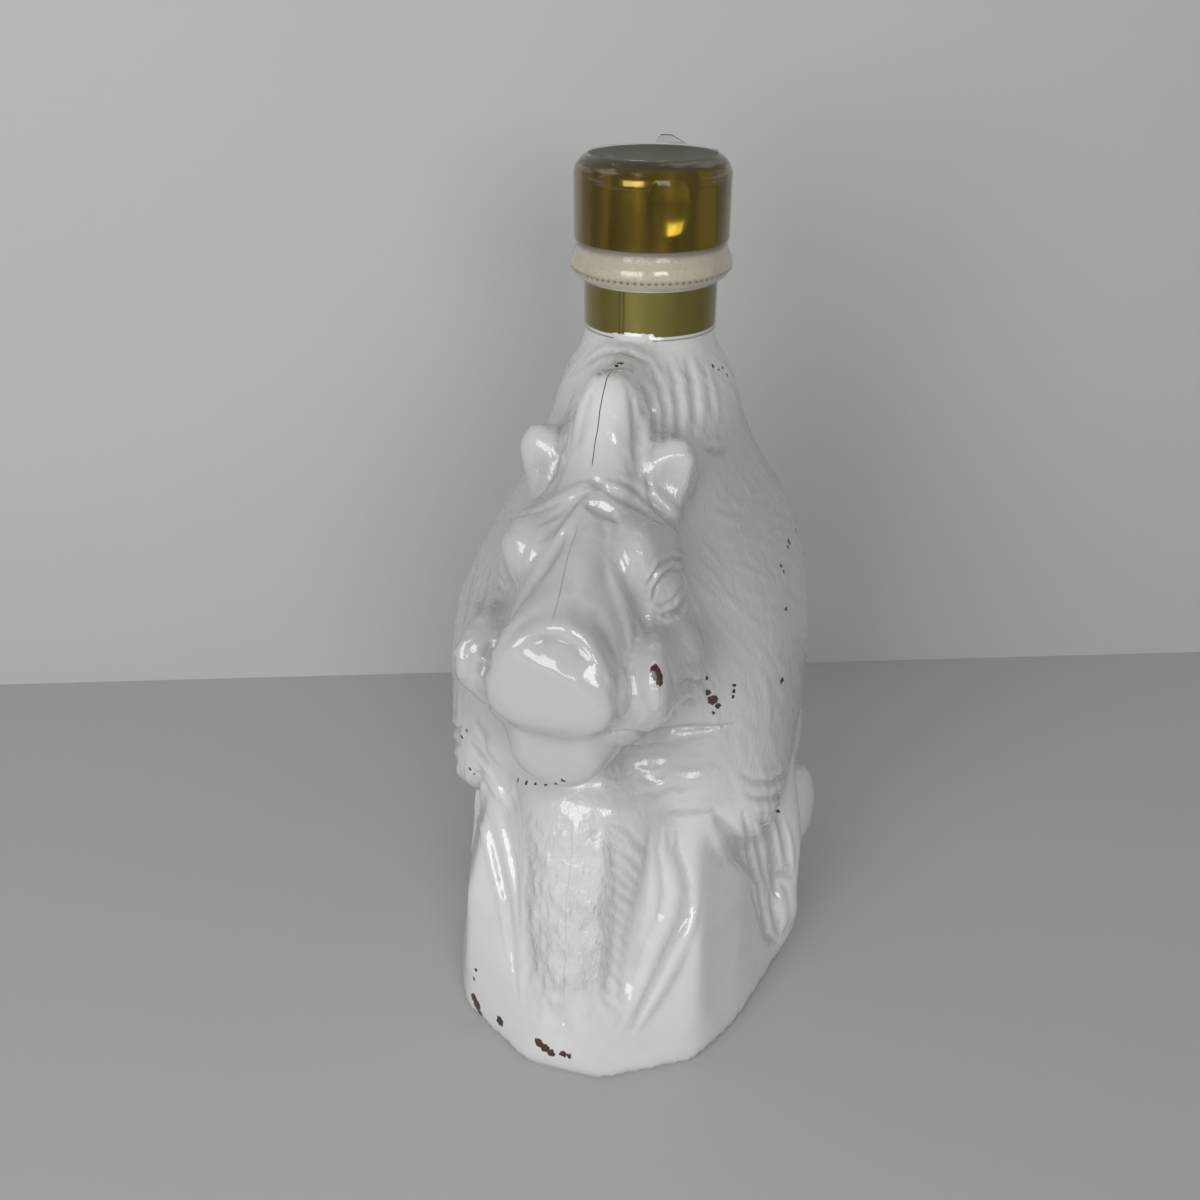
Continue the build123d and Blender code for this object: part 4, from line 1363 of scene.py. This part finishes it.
class DECANTER_OT_bottle(bpy.types.Operator):
    """Makes the boar, its rock, the neck and the finish"""

    bl_idname = "decanter.bottle"
    bl_label = "Bottle"

    def execute(self, context):
        sizes = context.scene.decanter_sizes
        skin, lining = split_bottle()
        thin_lining(lining)
        close_top(skin)
        fill = [
            add_oval(name, on_body(side * across, along, up), [radius * MM for radius in radii], side * turn)
            for name, across, along, up, radii, turn in SWELLS
            for side in (1, -1)
        ]
        join([skin, *fill])
        even_skin(skin, sizes.skin_step)
        blend_forms(Skin(skin))
        refine(skin, seen_faces(skin))
        refine(skin, face_region(skin))
        thin_rock(skin)
        carve_boar(Skin(skin))
        bottle = join_at_seam(skin, lining)
        bottle.name = "boar_bottle"
        smooth_look(bottle, 50)
        paint_skin(bottle)
        dress(bottle, coat_material(chip_places(bottle)))
        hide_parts("glass_bottle")
        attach(bottle, "bottle")
        return {"FINISHED"}


class DECANTER_OT_cap(bpy.types.Operator):
    """Gives the gold cap, its lining and the liner disc their finish"""

    bl_idname = "decanter.cap"
    bl_label = "Cap"

    def execute(self, context):
        nodes = frame["nodes"]
        dress(nodes["outer_cap"], gold_material())
        dress(nodes["inner_cap"], plain_plastic("cap lining", (0.85, 0.84, 0.8), 500))
        dress(nodes["sealing_disc"], plain_plastic("liner foam", (0.9, 0.9, 0.88), 1500))
        return {"FINISHED"}


class DECANTER_OT_band(bpy.types.Operator):
    """Gives the neck band its foil"""

    bl_idname = "decanter.band"
    bl_label = "Band"

    def execute(self, context):
        band = wound_foil("foil_band", context.scene.decanter_sizes.film_segments)
        smooth_look(band, 40)
        dress(band, band_material())
        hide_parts("neck_band")
        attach(band, "bottle")
        return {"FINISHED"}


class DECANTER_OT_sleeve(bpy.types.Operator):
    """Gives the shrink sleeve its film"""

    bl_idname = "decanter.sleeve"
    bl_label = "Sleeve"

    def execute(self, context):
        film = film_material()
        side = rows_between(PERFORATIONS + 0.45 * MM, SIDE_END, 34)
        shoulder = [(SHOULDER_HEIGHT, lift) for lift in SHOULDER_LIFTS]
        rows = film_rows("sleeve_upper", side + shoulder, wrinkle_upper, torn_rim)
        upper = ring_shell("film_on_cap", rows)
        mark_edge(upper, len(rows))
        side = rows_between(SLEEVE_FOOT + 0.05 * MM, PERFORATIONS - 0.05 * MM, 30)
        lower = ring_shell("film_on_neck", film_rows("sleeve_lower", side, wrinkle_lower))
        for piece, node, body in ((upper, "sleeve_upper", "cap"), (lower, "sleeve_lower", "bottle")):
            smooth_look(piece, 60)
            dress(piece, film)
            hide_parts(node)
            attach(piece, body)
        return {"FINISHED"}


class DECANTER_OT_stage(bpy.types.Operator):
    """Sets the table, the wall, the lamps and the camera"""

    bl_idname = "decanter.stage"
    bl_label = "Stage"

    def execute(self, context):
        stage = context.scene.decanter_stage
        floor = stage_plane("table", (0, 0, 0), (1.6, 1.6), (0, 0, 0), tuple(stage.floor_colour))
        wall = stage_plane("wall", (-0.049, 0.1316, 0.5), (1.6, 1.0), (90, 0, 20), tuple(stage.wall_colour))
        add_lamp("key", KEY_PLACE, KEY_SIZE, stage.key_power)
        add_lamp("fill", FILL_PLACE, FILL_SIZE, stage.fill_power)
        world = bpy.data.worlds.new("even light")
        context.scene.world = world
        world.use_nodes = True
        background = world.node_tree.nodes["Background"]
        background.inputs["Color"].default_value = (1, 1, 1, 1)
        background.inputs["Strength"].default_value = stage.sky
        camera = bpy.data.cameras.new("camera")
        camera.sensor_width = SENSOR_WIDTH
        camera.lens = SENSOR_WIDTH * LENS_PIXELS / PHOTO_SIZE
        camera.clip_start = 0.01
        viewer = bpy.data.objects.new("camera", camera)
        context.scene.collection.objects.link(viewer)
        right, up, forward = look_frame()
        turn = Matrix((right, up, -forward)).transposed().to_4x4()
        viewer.matrix_world = Matrix.Translation(EYE) @ turn
        context.scene.camera = viewer
        context.scene.view_settings.view_transform = "Standard"
        return {"FINISHED"}


def stage_plane(name, centre, size, turn, colour):
    """A large plain plane with a faint unevenness, which doesn't hide the decanter from behind."""
    deselect()
    bpy.ops.mesh.primitive_plane_add(size=1, location=centre, rotation=tuple(math.radians(a) for a in turn))
    plane = bpy.context.object
    plane.name = name
    plane.scale = (*size, 1)
    bpy.ops.object.transform_apply(location=True, rotation=True, scale=True)
    nodes = Nodes(name)
    nodes.finish(Base_Color=nodes.tone(nodes.noise(4, 2, 0.5), colour, 0.97), Roughness=0.6)
    nodes.blend(nodes.behind(), nodes.add("ShaderNodeBsdfTransparent"))
    dress(plane, nodes.material)
    return plane


def add_lamp(name, place, size, power):
    """A soft oblong lamp that points at the decanter."""
    light = bpy.data.lights.new(name, "AREA")
    light.shape = "RECTANGLE"
    light.size, light.size_y = size
    light.energy = power
    lamp = bpy.data.objects.new(name, light)
    bpy.context.scene.collection.objects.link(lamp)
    aim = LAMP_AIM - Vector(place)
    lamp.location = place
    lamp.rotation_euler = aim.to_track_quat("-Z", "Y").to_euler()


class DECANTER_PT_panel(bpy.types.Panel):
    """Sizes, finish and stage of the decanter"""

    bl_label = "Boar decanter"
    bl_idname = "DECANTER_PT_panel"
    bl_space_type = "VIEW_3D"
    bl_region_type = "UI"
    bl_category = "Decanter"

    def draw(self, context):
        layout = self.layout
        scene = context.scene
        for group in (scene.decanter_sizes, scene.decanter_finish, scene.decanter_stage):
            for name in group.bl_rna.properties.keys():
                if name not in ("rna_type", "name"):
                    layout.prop(group, name)
        for operator in OPERATORS:
            layout.operator(operator.bl_idname)


GROUPS = (DecanterSizes, DecanterFinish, StageSettings)
OPERATORS = (
    DECANTER_OT_bottle,
    DECANTER_OT_cap,
    DECANTER_OT_band,
    DECANTER_OT_sleeve,
    DECANTER_OT_stage,
)


def register():
    """Registers the groups, operators and panel."""
    for kind in (*GROUPS, *OPERATORS, DECANTER_PT_panel):
        bpy.utils.register_class(kind)
    bpy.types.Scene.decanter_sizes = PointerProperty(type=DecanterSizes)
    bpy.types.Scene.decanter_finish = PointerProperty(type=DecanterFinish)
    bpy.types.Scene.decanter_stage = PointerProperty(type=StageSettings)


def unregister():
    """Takes everything back out."""
    del bpy.types.Scene.decanter_sizes
    del bpy.types.Scene.decanter_finish
    del bpy.types.Scene.decanter_stage
    for kind in (DECANTER_PT_panel, *reversed(OPERATORS), *reversed(GROUPS)):
        bpy.utils.unregister_class(kind)


def main():
    """Makes every piece and the stage."""
    register()
    bpy.ops.decanter.bottle()
    bpy.ops.decanter.cap()
    bpy.ops.decanter.band()
    bpy.ops.decanter.sleeve()
    bpy.ops.decanter.stage()


if __name__ == "__main__":
    main()
